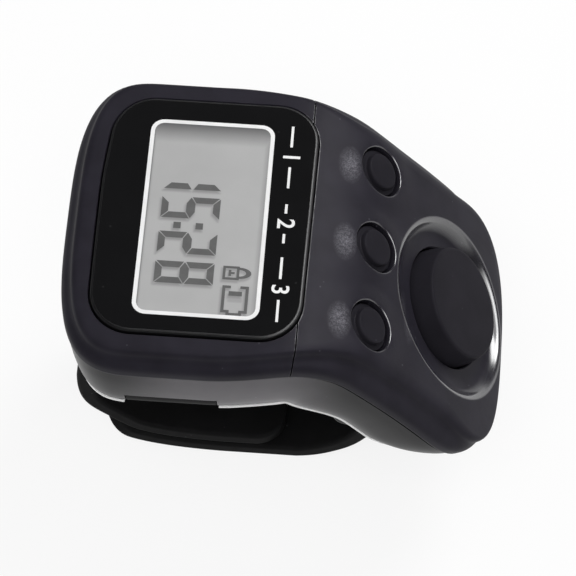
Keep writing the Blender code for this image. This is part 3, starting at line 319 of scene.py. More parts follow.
class Around:
    """A closed line that can be read at any share of its length."""

    def __init__(self, points):
        closed = list(points) + [points[0]]
        self.points = np.array(closed)
        steps = np.hypot(*(self.points[1:] - self.points[:-1]).T)
        self.runs = np.concatenate([[0.0], np.cumsum(steps)])

    def at(self, share):
        run = (share % 1.0) * self.runs[-1]
        return tuple(float(np.interp(run, self.runs, self.points[:, axis])) for axis in (0, 1))

    def inward(self, share, reach=0.004):
        """The unit normal that points to the inside."""
        before, after = self.at(share - reach), self.at(share + reach)
        run, rise = after[0] - before[0], after[1] - before[1]
        length = math.hypot(run, rise)
        return rise / length, -run / length


OUTLINE = Around(outline_line())


def mound(s, t):
    """How far the top face rises beside a small key."""
    rise = 0.0
    for key in (-1, 0, 1):
        away = math.hypot(s - SMALL_KEY_AT, t - key * SMALL_KEY_PITCH) - SMALL_HOLE
        rise = max(rise, MOUND_HEIGHT * (1 - smooth(away / MOUND_REACH)))
    return rise


def curve_point(a, b, c, d, u):
    """The point at u from b to c, on the smooth curve that also heeds a and d."""
    third = b * 3 - a - c * 3 + d
    return (b * 2 + (c - a) * u + (a * 2 - b * 5 + c * 4 - d) * u * u + third * u**3) / 2


def smooth_line(points, steps):
    """A line through the given points, with steps to each of its spans."""
    ends = [Vector(p) for p in points]
    ends = [ends[0] * 2 - ends[1]] + ends + [ends[-1] * 2 - ends[-2]]
    line = []
    for i in range(1, len(points)):
        a, b, c, d = ends[i - 1 : i + 3]
        for j in range(steps):
            u = j / steps
            line.append(curve_point(a, b, c, d, u))
    return line + [ends[-2]]


def eased(points, steps=5):
    """A line of (across, up, ease) points with each corner rounded off by its ease."""
    line = []
    for i, (across, up, ease) in enumerate(points):
        middle = Vector((across, up))
        if not ease:
            line.append(middle)
            continue
        before, after = Vector(points[i - 1][:2]) - middle, Vector(points[i + 1][:2]) - middle
        first = middle + before * min(0.48, ease / before.length)
        last = middle + after * min(0.48, ease / after.length)
        for j in range(steps + 1):
            u = j / steps
            line.append(first * (1 - u) ** 2 + middle * 2 * u * (1 - u) + last * u * u)
    return line


# ---------------------------------------------------------------- modelling by hand


def deselect():
    if bpy.context.object and bpy.context.object.mode != "OBJECT":
        bpy.ops.object.mode_set(mode="OBJECT")
    bpy.ops.object.select_all(action="DESELECT")


def work_on(obj):
    deselect()
    obj.select_set(True)
    bpy.context.view_layer.objects.active = obj


def edit(obj, mode="VERT"):
    work_on(obj)
    bpy.ops.object.mode_set(mode="EDIT")
    bpy.ops.mesh.select_mode(type=mode)
    bpy.ops.mesh.select_all(action="DESELECT")


def leave_edit():
    bpy.ops.object.mode_set(mode="OBJECT")


def pick(obj, kind, chosen):
    """Selects the vertices, edges or faces that are chosen, and goes back to edit mode."""
    bpy.ops.object.mode_set(mode="OBJECT")
    for item in getattr(obj.data, kind):
        item.select = bool(chosen(item))
    bpy.ops.object.mode_set(mode="EDIT")


def tidy_normals(obj):
    work_on(obj)
    bpy.ops.object.mode_set(mode="EDIT")
    bpy.ops.mesh.select_all(action="SELECT")
    bpy.ops.mesh.remove_doubles(threshold=0.001 * MM)
    bpy.ops.mesh.normals_make_consistent(inside=False)
    leave_edit()


def apply_place(obj):
    work_on(obj)
    bpy.ops.object.transform_apply(location=True, rotation=True, scale=True)


def wound(name, steps, levels, place):
    """A closed solid: a circle drawn up level by level, its two ends filled, then laid in place.

    place takes a share of the way round, a level and a share of the way out from the middle.
    """
    deselect()
    bpy.ops.mesh.primitive_circle_add(vertices=steps, radius=1.0)
    obj = bpy.context.object
    obj.name = name
    bpy.ops.object.mode_set(mode="EDIT")
    bpy.ops.mesh.select_mode(type="EDGE")
    bpy.ops.mesh.select_all(action="SELECT")
    for _ in range(levels - 1):
        bpy.ops.mesh.extrude_region_move(TRANSFORM_OT_translate={"value": (0.0, 0.0, 1.0)})
    for level in (0, levels - 1):
        bpy.ops.mesh.select_mode(type="VERT")
        bpy.ops.mesh.select_all(action="DESELECT")
        pick(obj, "vertices", lambda v: abs(v.co.z - level) < 0.5)
        bpy.ops.mesh.fill_grid(span=steps // 4)
    leave_edit()
    for vertex in obj.data.vertices:
        x, y, z = vertex.co
        share = math.atan2(y, x) / (2 * math.pi) % 1.0
        vertex.co = place(share, round(z), min(1.0, math.hypot(x, y)))
    tidy_normals(obj)
    return obj


def carve(obj, cutter, operation="DIFFERENCE"):
    """Cuts one solid with another, or joins them, and takes the tool away."""
    work_on(obj)
    boolean = obj.modifiers.new("Carve", "BOOLEAN")
    boolean.operation = operation
    boolean.solver = "EXACT"
    boolean.object = cutter
    bpy.ops.object.modifier_apply(modifier=boolean.name)
    bpy.data.objects.remove(cutter, do_unlink=True)


def copied(obj):
    """A copy with its own mesh."""
    twin = obj.copy()
    twin.data = obj.data.copy()
    bpy.context.scene.collection.objects.link(twin)
    return twin


def turned(name, line, steps, place):
    """A turned solid: line holds (radius, height) from its top middle to its foot."""

    def point(share, level, out):
        turn = 2 * math.pi * share
        radius = line[level][0] * out
        return place @ Vector((radius * math.cos(turn), radius * math.sin(turn), line[level][1]))

    return wound(name, steps, len(line), point)


def banded(name, outer, line, place):
    """A solid with that outline, wound through (inset, height) rows."""

    def point(share, level, out):
        edge, across = Vector(outer.at(share)), Vector(outer.inward(share))
        flat = (edge + across * line[level][0]) * out
        return place @ Vector((flat.x, flat.y, line[level][1]))

    return wound(name, PLATE_STEPS, len(line), point)


def slab(name, outer, low, high, place, ease=0.0, steps=8):
    """A flat plate with that outline, its top edge rounded off."""
    line = [(0.0, low), (0.0, high - ease)]
    if ease:
        for i in range(1, steps + 1):
            turn = math.pi / 2 * i / steps
            line.append((ease * (1 - math.cos(turn)), high - ease + ease * math.sin(turn)))
    return banded(name, outer, line, place)


def plate(name, corners, low, high, place):
    """A flat plate with straight sides between the given corners."""
    deselect()
    bpy.ops.mesh.primitive_circle_add(vertices=len(corners), radius=1.0, fill_type="NGON")
    obj = bpy.context.object
    obj.name = name
    for vertex, flat in zip(obj.data.vertices, corners):
        vertex.co = (flat[0], flat[1], low)
    edit(obj)
    bpy.ops.mesh.select_all(action="SELECT")
    bpy.ops.mesh.extrude_region_move(TRANSFORM_OT_translate={"value": (0.0, 0.0, high - low)})
    leave_edit()
    tidy_normals(obj)
    obj.data.transform(place)
    return obj


def box(name, x, y, z, place, ease=0.0):
    """A block between the pairs x, y and z, with its edges rounded off."""
    deselect()
    size = Vector((x[1] - x[0], y[1] - y[0], z[1] - z[0]))
    middle = Vector((x[0] + x[1], y[0] + y[1], z[0] + z[1])) / 2
    bpy.ops.mesh.primitive_cube_add(size=1.0, location=middle)
    obj = bpy.context.object
    obj.name = name
    obj.scale = size
    apply_place(obj)
    if ease:
        edit(obj, "EDGE")
        bpy.ops.mesh.select_all(action="SELECT")
        bpy.ops.mesh.bevel(offset=ease, segments=4, affect="EDGES")
        leave_edit()
    obj.data.transform(place)
    return obj


def joined(name, objs):
    deselect()
    for obj in objs:
        obj.select_set(True)
    bpy.context.view_layer.objects.active = objs[0]
    bpy.ops.object.join()
    objs[0].name = name
    return objs[0]


def finish_piece(obj, material, body, nodes=(), angle=30.0):
    """Smooth faces, its finish, the body that it rides on and the nodes that it stands for."""
    work_on(obj)
    bpy.ops.object.shade_smooth_by_angle(angle=math.radians(angle))
    obj.data.materials.clear()
    obj.data.materials.append(material)
    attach(obj, body)
    if nodes:
        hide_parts(*nodes)
    return obj


LEVEL = Matrix.Translation(ORIGIN)


def rounded_rectangle(width, length, radius, bow=0.0, steps=14):
    """A rectangle's outline with round corners, its left side bowed out."""
    points = []
    for way_x, way_y, start in ((1, 1, 0), (-1, 1, 1), (-1, -1, 2), (1, -1, 3)):
        centre = (way_x * (width / 2 - radius), way_y * (length / 2 - radius))
        for i in range(steps + 1):
            turn = math.pi / 2 * (start + i / steps)
            points.append((centre[0] + radius * math.cos(turn), centre[1] + radius * math.sin(turn)))
        if start == 1:
            rows = [(1 - 2 * i / 20) for i in range(1, 20)]
            points += [(-width / 2, row * (length / 2 - radius)) for row in rows]
    bowed = []
    for x, y in points[::-1]:
        if x < 0:
            x -= bow * (1 - (2 * y / length) ** 2) * min(1.0, -x / width * 2)
        bowed.append((x, y))
    return bowed


# ---------------------------------------------------------------- shared effects


def new_group(name, inputs, outputs):
    """An empty node group with named sockets: inputs are (name, type, value)."""
    group = bpy.data.node_groups.new(name, "ShaderNodeTree")
    for label, kind, value in inputs:
        socket = group.interface.new_socket(label, in_out="INPUT", socket_type=kind)
        if value is not None:
            socket.default_value = value
    for label, kind in outputs:
        group.interface.new_socket(label, in_out="OUTPUT", socket_type=kind)
    return group, group.nodes.new("NodeGroupInput"), group.nodes.new("NodeGroupOutput")


def math_node(tree, operation, first, second=None, clamp=False):
    node = tree.nodes.new("ShaderNodeMath")
    node.operation = operation
    node.use_clamp = clamp
    for socket, value in zip(node.inputs, (first, second)):
        if value is None:
            continue
        if isinstance(value, (int, float)):
            socket.default_value = value
        else:
            tree.links.new(value, socket)
    return node.outputs[0]


def own_place(tree):
    """The piece's own coordinates."""
    return tree.nodes.new("ShaderNodeTexCoord").outputs["Object"]


def even(grey):
    """A grey with the same share of each colour."""
    return (grey, grey, grey)


def paint(tree, shader, colour):
    """Gives the shader that colour."""
    tree.links.new(colour, shader.inputs["Base Color"])


def noise(tree, scale, detail=2.0, roughness=0.5, vector=None):
    node = tree.nodes.new("ShaderNodeTexNoise")
    node.inputs["Detail"].default_value = detail
    node.inputs["Roughness"].default_value = roughness
    if isinstance(scale, (int, float)):
        node.inputs["Scale"].default_value = scale
    else:
        tree.links.new(scale, node.inputs["Scale"])
    tree.links.new(vector or own_place(tree), node.inputs["Vector"])
    return node.outputs["Fac"]


def spread(tree, value, low, high, to_low=0.0, to_high=1.0):
    node = tree.nodes.new("ShaderNodeMapRange")
    node.inputs["From Min"].default_value = low
    node.inputs["From Max"].default_value = high
    node.inputs["To Min"].default_value = to_low
    node.inputs["To Max"].default_value = to_high
    tree.links.new(value, node.inputs["Value"])
    return node.outputs["Result"]


def mix_colours(tree, share, first, second, way="MIX"):
    node = tree.nodes.new("ShaderNodeMix")
    node.data_type = "RGBA"
    node.blend_type = way
    sockets = [s for s in node.inputs if s.enabled]
    for socket, value in zip(sockets, (share, first, second)):
        if isinstance(value, (int, float)):
            socket.default_value = value
        elif isinstance(value, tuple):
            socket.default_value = (*value, 1.0)
        else:
            tree.links.new(value, socket)
    return [s for s in node.outputs if s.enabled][0]


def moulded_grain():
    """The fine spark-eroded grain of a moulded surface: its height and its bright flecks."""
    group, given, out = new_group(
        "moulded_grain",
        (("Scale", "NodeSocketFloat", 9000.0), ("Depth", "NodeSocketFloat", 1.0)),
        (("Height", "NodeSocketFloat"), ("Flecks", "NodeSocketFloat"), ("Clouds", "NodeSocketFloat")),
    )
    fine = noise(group, given.outputs["Scale"], 3.0, 0.6)
    coarse = noise(group, math_node(group, "MULTIPLY", given.outputs["Scale"], 0.35), 2.0, 0.5)
    both = math_node(group, "ADD", fine, math_node(group, "MULTIPLY", coarse, 0.6))
    group.links.new(math_node(group, "MULTIPLY", both, given.outputs["Depth"]), out.inputs["Height"])
    group.links.new(spread(group, fine, 0.62, 0.74), out.inputs["Flecks"])
    clouds = noise(group, math_node(group, "MULTIPLY", given.outputs["Scale"], 0.028), 3.0, 0.55)
    group.links.new(spread(group, clouds, 0.35, 0.65), out.inputs["Clouds"])
    return group


def settled_dust():
    """A mask of the dust and finger grease that a handled surface picks up."""
    group, given, out = new_group(
        "settled_dust",
        (("Scale", "NodeSocketFloat", 700.0), ("Amount", "NodeSocketFloat", 1.0)),
        (("Mask", "NodeSocketFloat"), ("Specks", "NodeSocketFloat")),
    )
    broad = spread(group, noise(group, given.outputs["Scale"], 5.0, 0.65), 0.45, 0.75)
    group.links.new(math_node(group, "MULTIPLY", broad, given.outputs["Amount"]), out.inputs["Mask"])
    cells = group.nodes.new("ShaderNodeTexVoronoi")
    cells.inputs["Scale"].default_value = 520.0
    cells.inputs["Randomness"].default_value = 1.0
    group.links.new(own_place(group), cells.inputs["Vector"])
    specks = spread(group, cells.outputs["Distance"], 0.035, 0.06, 1.0, 0.0)
    group.links.new(math_node(group, "MULTIPLY", specks, given.outputs["Amount"]), out.inputs["Specks"])
    return group


def worn_edges():
    """A mask of the edges that handling has polished."""
    group, given, out = new_group(
        "worn_edges",
        (("Reach", "NodeSocketFloat", 0.12 * MM), ("Amount", "NodeSocketFloat", 1.0)),
        (("Mask", "NodeSocketFloat"),),
    )
    rounded = group.nodes.new("ShaderNodeBevel")
    rounded.samples = 4
    group.links.new(given.outputs["Reach"], rounded.inputs["Radius"])
    straight = group.nodes.new("ShaderNodeNewGeometry").outputs["Normal"]
    dot = group.nodes.new("ShaderNodeVectorMath")
    dot.operation = "DOT_PRODUCT"
    group.links.new(rounded.outputs["Normal"], dot.inputs[0])
    group.links.new(straight, dot.inputs[1])
    edge = spread(group, dot.outputs["Value"], 0.995, 0.90)
    patchy = spread(group, noise(group, 1400.0, 4.0, 0.6), 0.3, 0.6)
    mask = math_node(group, "MULTIPLY", math_node(group, "MULTIPLY", edge, patchy), given.outputs["Amount"])
    group.links.new(mask, out.inputs["Mask"])
    return group


GRAIN, DUST, WORN = moulded_grain(), settled_dust(), worn_edges()


def use(tree, group, **values):
    node = tree.nodes.new("ShaderNodeGroup")
    node.node_tree = group
    for label, value in values.items():
        node.inputs[label].default_value = value
    return node.outputs


def new_material(name, **values):
    """A material, its tree and its shader, with uniform values set on the shader's own sockets."""
    material = bpy.data.materials.new(name)
    material.use_nodes = True
    shader = material.node_tree.nodes["Principled BSDF"]
    for label, value in values.items():
        label = label.replace("_", " ")
        shader.inputs[label].default_value = (*value, 1.0) if isinstance(value, tuple) else value
    return material, material.node_tree, shader


def bump(tree, shader, height, strength, distance):
    node = tree.nodes.new("ShaderNodeBump")
    node.inputs["Strength"].default_value = strength
    node.inputs["Distance"].default_value = distance
    tree.links.new(height, node.inputs["Height"])
    tree.links.new(node.outputs["Normal"], shader.inputs["Normal"])


def moulded(
    name, base, light, roughness, grain, depth, dust=0.4, wear=0.5,
    painted_highlights_of=None, polish_of=None, pale=None, **values,
):
    """A moulded plastic or rubber: grain, cloudy colour, grease, polished edges, and pale painted highlights
    where a mask for them is given.
    """
    material, tree, shader = new_material(name, **values)
    sheet = use(tree, GRAIN, Scale=grain, Depth=1.0)
    film = use(tree, DUST, Amount=dust)
    edges = use(tree, WORN, Amount=wear)
    clouds = math_node(tree, "MULTIPLY", sheet["Clouds"], 0.35)
    colour = mix_colours(tree, clouds, base, light)
    colour = mix_colours(tree, math_node(tree, "MULTIPLY", sheet["Flecks"], 0.25), colour, light)
    colour = mix_colours(tree, math_node(tree, "MULTIPLY", edges["Mask"], 0.5), colour, light)
    pale = pale or tuple(min(1.0, 3.0 * value + 0.02) for value in light)
    specks_and_painted_highlights = math_node(tree, "MULTIPLY", film["Specks"], 0.5)
    if painted_highlights_of:
        specks_and_painted_highlights = math_node(tree, "MAXIMUM", specks_and_painted_highlights, painted_highlights_of(tree, sheet))
    # Dust specks and painted highlights are both drawn in the pale colour.
    colour = mix_colours(tree, specks_and_painted_highlights, colour, pale)
    paint(tree, shader, colour)
    rough = math_node(tree, "MULTIPLY", film["Mask"], 0.12)
    rough = math_node(tree, "ADD", rough, roughness)
    rough = math_node(tree, "SUBTRACT", rough, math_node(tree, "MULTIPLY", edges["Mask"], 0.12), clamp=True)
    tree.links.new(rough, shader.inputs["Roughness"])
    polish = math_node(tree, "MULTIPLY", edges["Mask"], 0.6)
    if polish_of:
        polish = math_node(tree, "MAXIMUM", polish, polish_of(tree))
    tree.links.new(polish, shader.inputs["Coat Weight"])
    bump(tree, shader, sheet["Height"], depth, 0.02 * MM)
    return material


def near_spot(tree, s, t, reach, inner, outer):
    """A mask round a place on the skin: full to the inner share of its reach, nothing past the outer."""
    move = tree.nodes.new("ShaderNodeMapping")
    move.vector_type = "TEXTURE"
    move.inputs["Location"].default_value = ORIGIN + lay(s, t, 0.0)
    move.inputs["Rotation"].default_value = (0.0, profile(s)[2], 0.0)
    move.inputs["Scale"].default_value = reach
    tree.links.new(own_place(tree), move.inputs["Vector"])
    length = tree.nodes.new("ShaderNodeVectorMath")
    length.operation = "LENGTH"
    tree.links.new(move.outputs["Vector"], length.inputs[0])
    return spread(tree, length.outputs["Value"], inner, outer, 1.0, 0.0)


def thumb_marks(tree, sheet):
    """Painted highlights: pale patches on the shoulder beside each small key and on the dish's left ring,
    broken up by the grain.
    """
    found = None
    for key in (-1, 0, 1):
        reach = (1.3 * MM, 2.1 * MM, 1.3 * MM)
        mask = near_spot(tree, SMALL_KEY_AT - 3.6 * MM, key * SMALL_KEY_PITCH - 0.8 * MM, reach, 0.15, 1.0)
        found = mask if found is None else math_node(tree, "MAXIMUM", found, mask)
    patch = near_spot(tree, COUNT_AT - 7.0 * MM, -4.4 * MM, (1.0 * MM, 3.6 * MM, 1.6 * MM), 0.2, 1.0)
    found = math_node(tree, "MAXIMUM", found, math_node(tree, "MULTIPLY", patch, 0.55))
    broken = spread(tree, sheet["Height"], 0.7, 1.05, 0.2, 1.0)
    return math_node(tree, "MULTIPLY", found, broken)


def polished_lips(tree):
    """The glossy parts of the thumb panel: the dish and the lips of the small holes."""
    rim = (DISH_RADIUS, DISH_RADIUS, 40 * MM)
    s, t = COUNT_AT + DISH_SHIFT[0], DISH_SHIFT[1]
    hollow = near_spot(tree, s, t, rim, 0.86, 0.95)
    found = math_node(tree, "SUBTRACT", near_spot(tree, s, t, rim, 0.99, 1.01), hollow, clamp=True)
    for key in (-1, 0, 1):
        reach = (SMALL_HOLE, SMALL_HOLE, 40 * MM)
        mask = near_spot(tree, SMALL_KEY_AT, key * SMALL_KEY_PITCH, reach, 1.03, 1.08)
        found = math_node(tree, "MAXIMUM", found, math_node(tree, "MULTIPLY", mask, 0.8))
    return math_node(tree, "MULTIPLY", found, 0.9)


def darken_lugs(material):
    """Painted shade on the shell: its ears drawn as dark as the strap, and its ends darker, where their
    attribute says.
    """
    tree = material.node_tree
    colour = tree.nodes["Principled BSDF"].inputs["Base Color"]
    painted = colour.links[0].from_socket
    ears = tree.nodes.new("ShaderNodeAttribute")
    ears.attribute_name = "ears"
    tree.links.new(mix_colours(tree, ears.outputs["Fac"], painted, (0.008, 0.008, 0.0085)), colour)


# The shell's pale colour is that of its dust specks and of the painted highlights beside the keys.
charcoal = moulded(
    "charcoal_shell", (0.0148, 0.0136, 0.0188), (0.028, 0.0260, 0.036), 0.46, 9000.0, 0.25,
    painted_highlights_of=thumb_marks, polish_of=polished_lips, pale=(0.20, 0.195, 0.22),
    Specular_IOR_Level=0.08, Coat_Roughness=0.18, Coat_IOR=2.2,
)
key_finish = moulded(
    "key_cap_plastic", (0.0165, 0.0155, 0.0196), (0.026, 0.0243, 0.0305), 0.45, 9500.0, 0.16,
    Specular_IOR_Level=0.02, Coat_Roughness=0.2,
)
base_finish = moulded(
    "satin_base_shell", (0.100, 0.095, 0.103), (0.147, 0.140, 0.150), 0.30, 7000.0, 0.06,
    dust=0.3, wear=0.4, Specular_IOR_Level=0.12, Coat_Roughness=0.12,
)
darken_lugs(base_finish)
silicone = moulded(
    "soft_silicone", (0.0085, 0.0085, 0.0088), (0.0160, 0.0160, 0.0165), 0.52, 6000.0, 0.12,
    dust=0.8, wear=0.3, Specular_IOR_Level=0.03, Coat_Roughness=0.3,
)
plug_rubber = moulded(
    "plug_rubber", (0.004, 0.004, 0.0044), (0.009, 0.009, 0.010), 0.55, 7000.0, 0.15, wear=0.2,
    Specular_IOR_Level=0.03, Coat_Roughness=0.3,
)


def window_material():
    """Clear gloss on the flat top and a duller eased edge."""
    material, tree, shader = new_material("gloss_window_black", Coat_Roughness=0.03)
    place = tree.nodes.new("ShaderNodeSeparateXYZ")
    tree.links.new(own_place(tree), place.inputs["Vector"])
    top = ORIGIN.z + WINDOW_PROUD
    flat = spread(tree, place.outputs["Z"], top - 0.002 * MM, top - 0.0005 * MM)
    tree.links.new(flat, shader.inputs["Coat Weight"])
    film = use(tree, DUST, Scale=260.0, Amount=0.5)
    haze = math_node(tree, "MULTIPLY", film["Mask"], 0.3)
    colour = mix_colours(tree, haze, (0.0045, 0.0045, 0.005), (0.008, 0.008, 0.009))
    specks = math_node(tree, "MULTIPLY", film["Specks"], 0.25)
    paint(tree, shader, mix_colours(tree, specks, colour, even(0.12)))
    rough = math_node(tree, "MULTIPLY", film["Mask"], 0.10)
    rough = math_node(tree, "ADD", rough, spread(tree, flat, 0.0, 1.0, 0.42, 0.07))
    tree.links.new(rough, shader.inputs["Roughness"])
    return material


# The white of the printing, also given to the bead on the base's rim as a painted reflection.
def printed_white():
    material, tree, shader = new_material("printed_white", Roughness=0.35, Coat_Weight=0.6)
    sheet = use(tree, GRAIN, Scale=16000.0, Depth=1.0)
    paint(tree, shader, mix_colours(tree, sheet["Clouds"], even(0.80), even(0.88)))
    bump(tree, shader, sheet["Height"], 0.05, 0.01 * MM)
    return material


DISPLAY_COAT = {"Coat_Weight": 0.7, "Coat_Roughness": 0.05}


def display_material():
    """The grey of the display, darkened where its shade attribute says."""
    material, tree, shader = new_material("display_grey", Roughness=0.38, **DISPLAY_COAT)
    shade = tree.nodes.new("ShaderNodeAttribute")
    shade.attribute_name = "shade"
    soft = spread(tree, noise(tree, 160.0, 3.0, 0.6), 0.3, 0.7)
    grey = mix_colours(tree, soft, even(0.385), even(0.425))
    fine = spread(tree, noise(tree, 7000.0, 2.0, 0.5), 0.3, 0.7)
    grey = mix_colours(tree, math_node(tree, "MULTIPLY", fine, 0.15), grey, even(0.35))
    paint(tree, shader, mix_colours(tree, shade.outputs["Fac"], grey, (0.045, 0.045, 0.047)))
    return material


def segment_material():
    material, tree, shader = new_material("display_segment", Roughness=0.4, **DISPLAY_COAT)
    soft = spread(tree, noise(tree, 900.0, 3.0, 0.6), 0.3, 0.7)
    paint(tree, shader, mix_colours(tree, soft, even(0.083), even(0.104)))
    return material


window_black, white_for_print_and_rim_reflection = window_material(), printed_white()
display_grey, segment_grey = display_material(), segment_material()


# ---------------------------------------------------------------- the three shells


def laid(s, t, depth):
    """A point of the body, drawn in across where the bend brings it under a narrower place."""
    point = lay(s, t, depth)
    point.y *= half_width(along_at(point.x)) / half_width(s)
    return ORIGIN + point


def body_stack(name, rows, top_row=None):
    """A cup-shaped shell wound through rows of (inset, depth), each a function of s."""

    def point(share, level, out):
        inset, depth = rows[level]
        s, t = OUTLINE.at(share)
        across = OUTLINE.inward(share)
        s, t = s + across[0] * inset(s), t + across[1] * inset(s)
        s, t = MIDDLE + (s - MIDDLE) * out, t * out
        down = depth(s)
        if top_row is not None and level <= top_row:
            down -= mound(s, t) * (1 - smooth(down / PARTING_DEPTH * 1.6))
        return laid(s, t, down)

    return wound(name, BODY_STEPS, len(rows), point)


def upper_rows(under=0.0):
    """The rows of the upper shells, with their outer face drawn in by a little if need be."""
    rows = []
    for share, depth in smooth_line(EDGE_SHARES, 3):
        share, depth = max(0.0, share), max(0.0, depth)
        rows.append(
            (
                lambda s, a=share: a * edge_inset(s) + under,
                lambda s, b=depth: b * (PARTING_DEPTH - under) + under,
            )
        )
    top_row = len(rows) - 1
    rows.append((lambda s: SIDE_WALL, lambda s: PARTING_DEPTH))
    rows.append((lambda s: SIDE_WALL, lambda s: CEILING + CEILING_ROUND))
    rows.append((lambda s: SIDE_WALL + CEILING_ROUND, lambda s: CEILING))
    return rows, top_row


def base_rows(inset_more, floor):
    top = PARTING_DEPTH + PARTING_GAP
    rows = []
    for share, down in smooth_line(BASE_SHARES, 3):
        rows.append(
            (
                lambda s, a=share: a * BASE_INSET + inset_more,
                lambda s, b=down: top + b * (body_depth(s) - floor - top),
            )
        )
    return rows


def half_space(name, sign):
    """A block over all of the body on one side of the seam."""
    x = sorted((-sign * SEAM_GAP / 2, sign * (TIP + DISPLAY_END)))
    half = HALF_WIDTH + OVERRUN
    return box(name, x, (-half, half), (-TIP, SHOULDER_RADIUS), frame_at(SEAM))


def window_line():
    """The window's outline: drawn in on the left, at the near right and at its far left corner."""
    points = []
    for x, y in rounded_rectangle(WINDOW_WIDTH, WINDOW_LENGTH, WINDOW_CORNER, WINDOW_BOW):
        far = y / WINDOW_LENGTH + 0.5
        if x < 0:
            pull = WINDOW_LEFT_PULL + WINDOW_CORNER_PULL * smooth((far - 0.6) / 0.4)
        else:
            pull = WINDOW_RIGHT_PULL * (1 - far)
        points.append((x * (1 - 2 * pull / WINDOW_WIDTH), y))
    return points


WINDOW_OUTLINE = Around(window_line())


def window_pocket(name):
    """The window's pocket, with a soft lip round its mouth."""
    line = [(-FIT_GAP, -1.26 * MM), (-FIT_GAP, -0.16 * MM), (-FIT_GAP - 0.03 * MM, -0.07 * MM)]
    line += [(-FIT_GAP - 0.09 * MM, 0.01 * MM), (-FIT_GAP - 0.2 * MM, OVERRUN)]
    return banded(name, WINDOW_OUTLINE, line, LEVEL)


def bent_hole(name, at, across, rows, hole, rim, steps, shift=(0.0, 0.0)):
    """A round tool of (radius, depth) rows that follows the bend outside the hole and is straight inside it.

    Its rim may lie a little to one side of the hole.
    """
    flat = frame_at(at, across)

    def point(share, level, out):
        radius, depth = rows[level]
        turn = 2 * math.pi * share
        share_out = smooth((radius - hole) / (rim - hole))
        s, t = radius * out * math.cos(turn), radius * out * math.sin(turn)
        s, t = s + shift[0] * share_out, t + shift[1] * share_out
        bent = ORIGIN + lay(at + s, across + t, depth)
        return (flat @ Vector((s, t, -depth))).lerp(bent, share_out)

    return wound(name, steps, len(rows), point)


def dish_cutter():
    """A round hollow with a soft lip and a curved side that flattens out beside the key's hole."""
    lip, lip_turn = DISH_LIP, DISH_LIP_TURN
    rows = [(DISH_RADIUS + 0.45 * MM, -2.0 * MM)]
    for i in range(6):
        turn = lip_turn * i / 5
        rows.append((DISH_RADIUS + 0.1 * MM - lip * math.sin(turn), lip * (1 - math.cos(turn)) - LIP_SINK))
    start, depth = rows[-1]
    sweep = (start - DISH_FLOOR) / math.sin(lip_turn)
    for i in range(1, 13):
        turn = lip_turn * (1 - i / 12)
        across = start - sweep * (math.sin(lip_turn) - math.sin(turn))
        rows.append((across, depth + sweep * (math.cos(turn) - math.cos(lip_turn))))
    rows.append((COUNT_HOLE + 0.12 * MM, rows[-1][1]))
    rows.append((COUNT_HOLE, rows[-1][1] + 0.1 * MM))
    rows.append((COUNT_HOLE, PARTING_DEPTH))
    return bent_hole("dish", COUNT_AT, 0.0, rows, COUNT_HOLE, DISH_RADIUS, 160, DISH_SHIFT)


def small_hole(name, t):
    """The tool for a small key's hole, with a soft lip."""
    lip = SMALL_LIP
    rows = [(SMALL_HOLE + lip + 0.1 * MM, -OVERRUN)]
    for i in range(7):
        turn = math.pi / 2 * i / 6
        depth = lip * (1 - math.cos(turn)) - LIP_SINK - MOUND_HEIGHT
        rows.append((SMALL_HOLE + lip * (1 - math.sin(turn)), depth))
    rows.append((SMALL_HOLE - 0.02 * MM, CEILING + OVERRUN))
    return bent_hole(name, SMALL_KEY_AT, t, rows, SMALL_HOLE - 0.02 * MM, SMALL_HOLE, 96)


def build_upper_shells():
    rows, top_row = upper_rows()
    housing = body_stack("top_shell", rows, top_row)
    panel = copied(housing)
    panel.name = "thumb_panel"
    carve(housing, half_space("panel_side", 1))
    carve(housing, window_pocket("pocket"))
    half_x, half_y = OPENING_HALF
    carve(housing, box("opening", (-half_x, half_x), (-half_y, half_y), (-4 * MM, OVERRUN), LEVEL, 0.0))
    carve(panel, half_space("display_side", -1))
    carve(panel, window_pocket("pocket_end"))
    carve(panel, dish_cutter())
    for key in (-1, 0, 1):
        carve(panel, small_hole(f"hole_{key + 2}", key * SMALL_KEY_PITCH))
    finish_piece(housing, charcoal, "case", ["top_housing"])
    finish_piece(panel, charcoal, "case", ["key_panel"])


def build_seam_lap():
    """The dark lip behind the seam, so that no light passes between the two upper shells."""
    rows, top_row = upper_rows(SEAM_LAP_DEPTH)
    lap = body_stack("seam_lap", rows, top_row)
    half = HALF_WIDTH + OVERRUN
    reach = (-SEAM_LAP_HALF, SEAM_LAP_HALF)
    high = (-2 * PARTING_DEPTH, SHOULDER_RADIUS)
    carve(lap, box("seam_room", reach, (-half, half), high, frame_at(SEAM)), "INTERSECT")
    carve(lap, window_pocket("pocket_lap"))
    finish_piece(lap, plug_rubber, "case")


def crosswise(x, y, z):
    """A frame whose local z runs along +Y."""
    return Matrix.Translation((x, y, z)) @ Matrix.Rotation(-math.pi / 2, 4, "X")


def round_bar(name, radius, low, high, place, ease=0.0, steps=48):
    line = [(radius, high), (radius, low)]
    if ease:
        line = eased([(0.0, high, 0.0), (radius, high, ease), (radius, low, ease), (0.0, low, 0.0)])
        line[0].x = line[-1].x = radius - 2 * ease
    return turned(name, line, steps, place)


def left_pin():
    return LEVEL @ Matrix.Translation((LEFT_PIN[0], 0.0, -DISPLAY_DEPTH - LEFT_PIN[1]))


def right_pin():
    s, drop = RIGHT_PIN
    return frame_at(s, 0.0, body_depth(s) + drop)


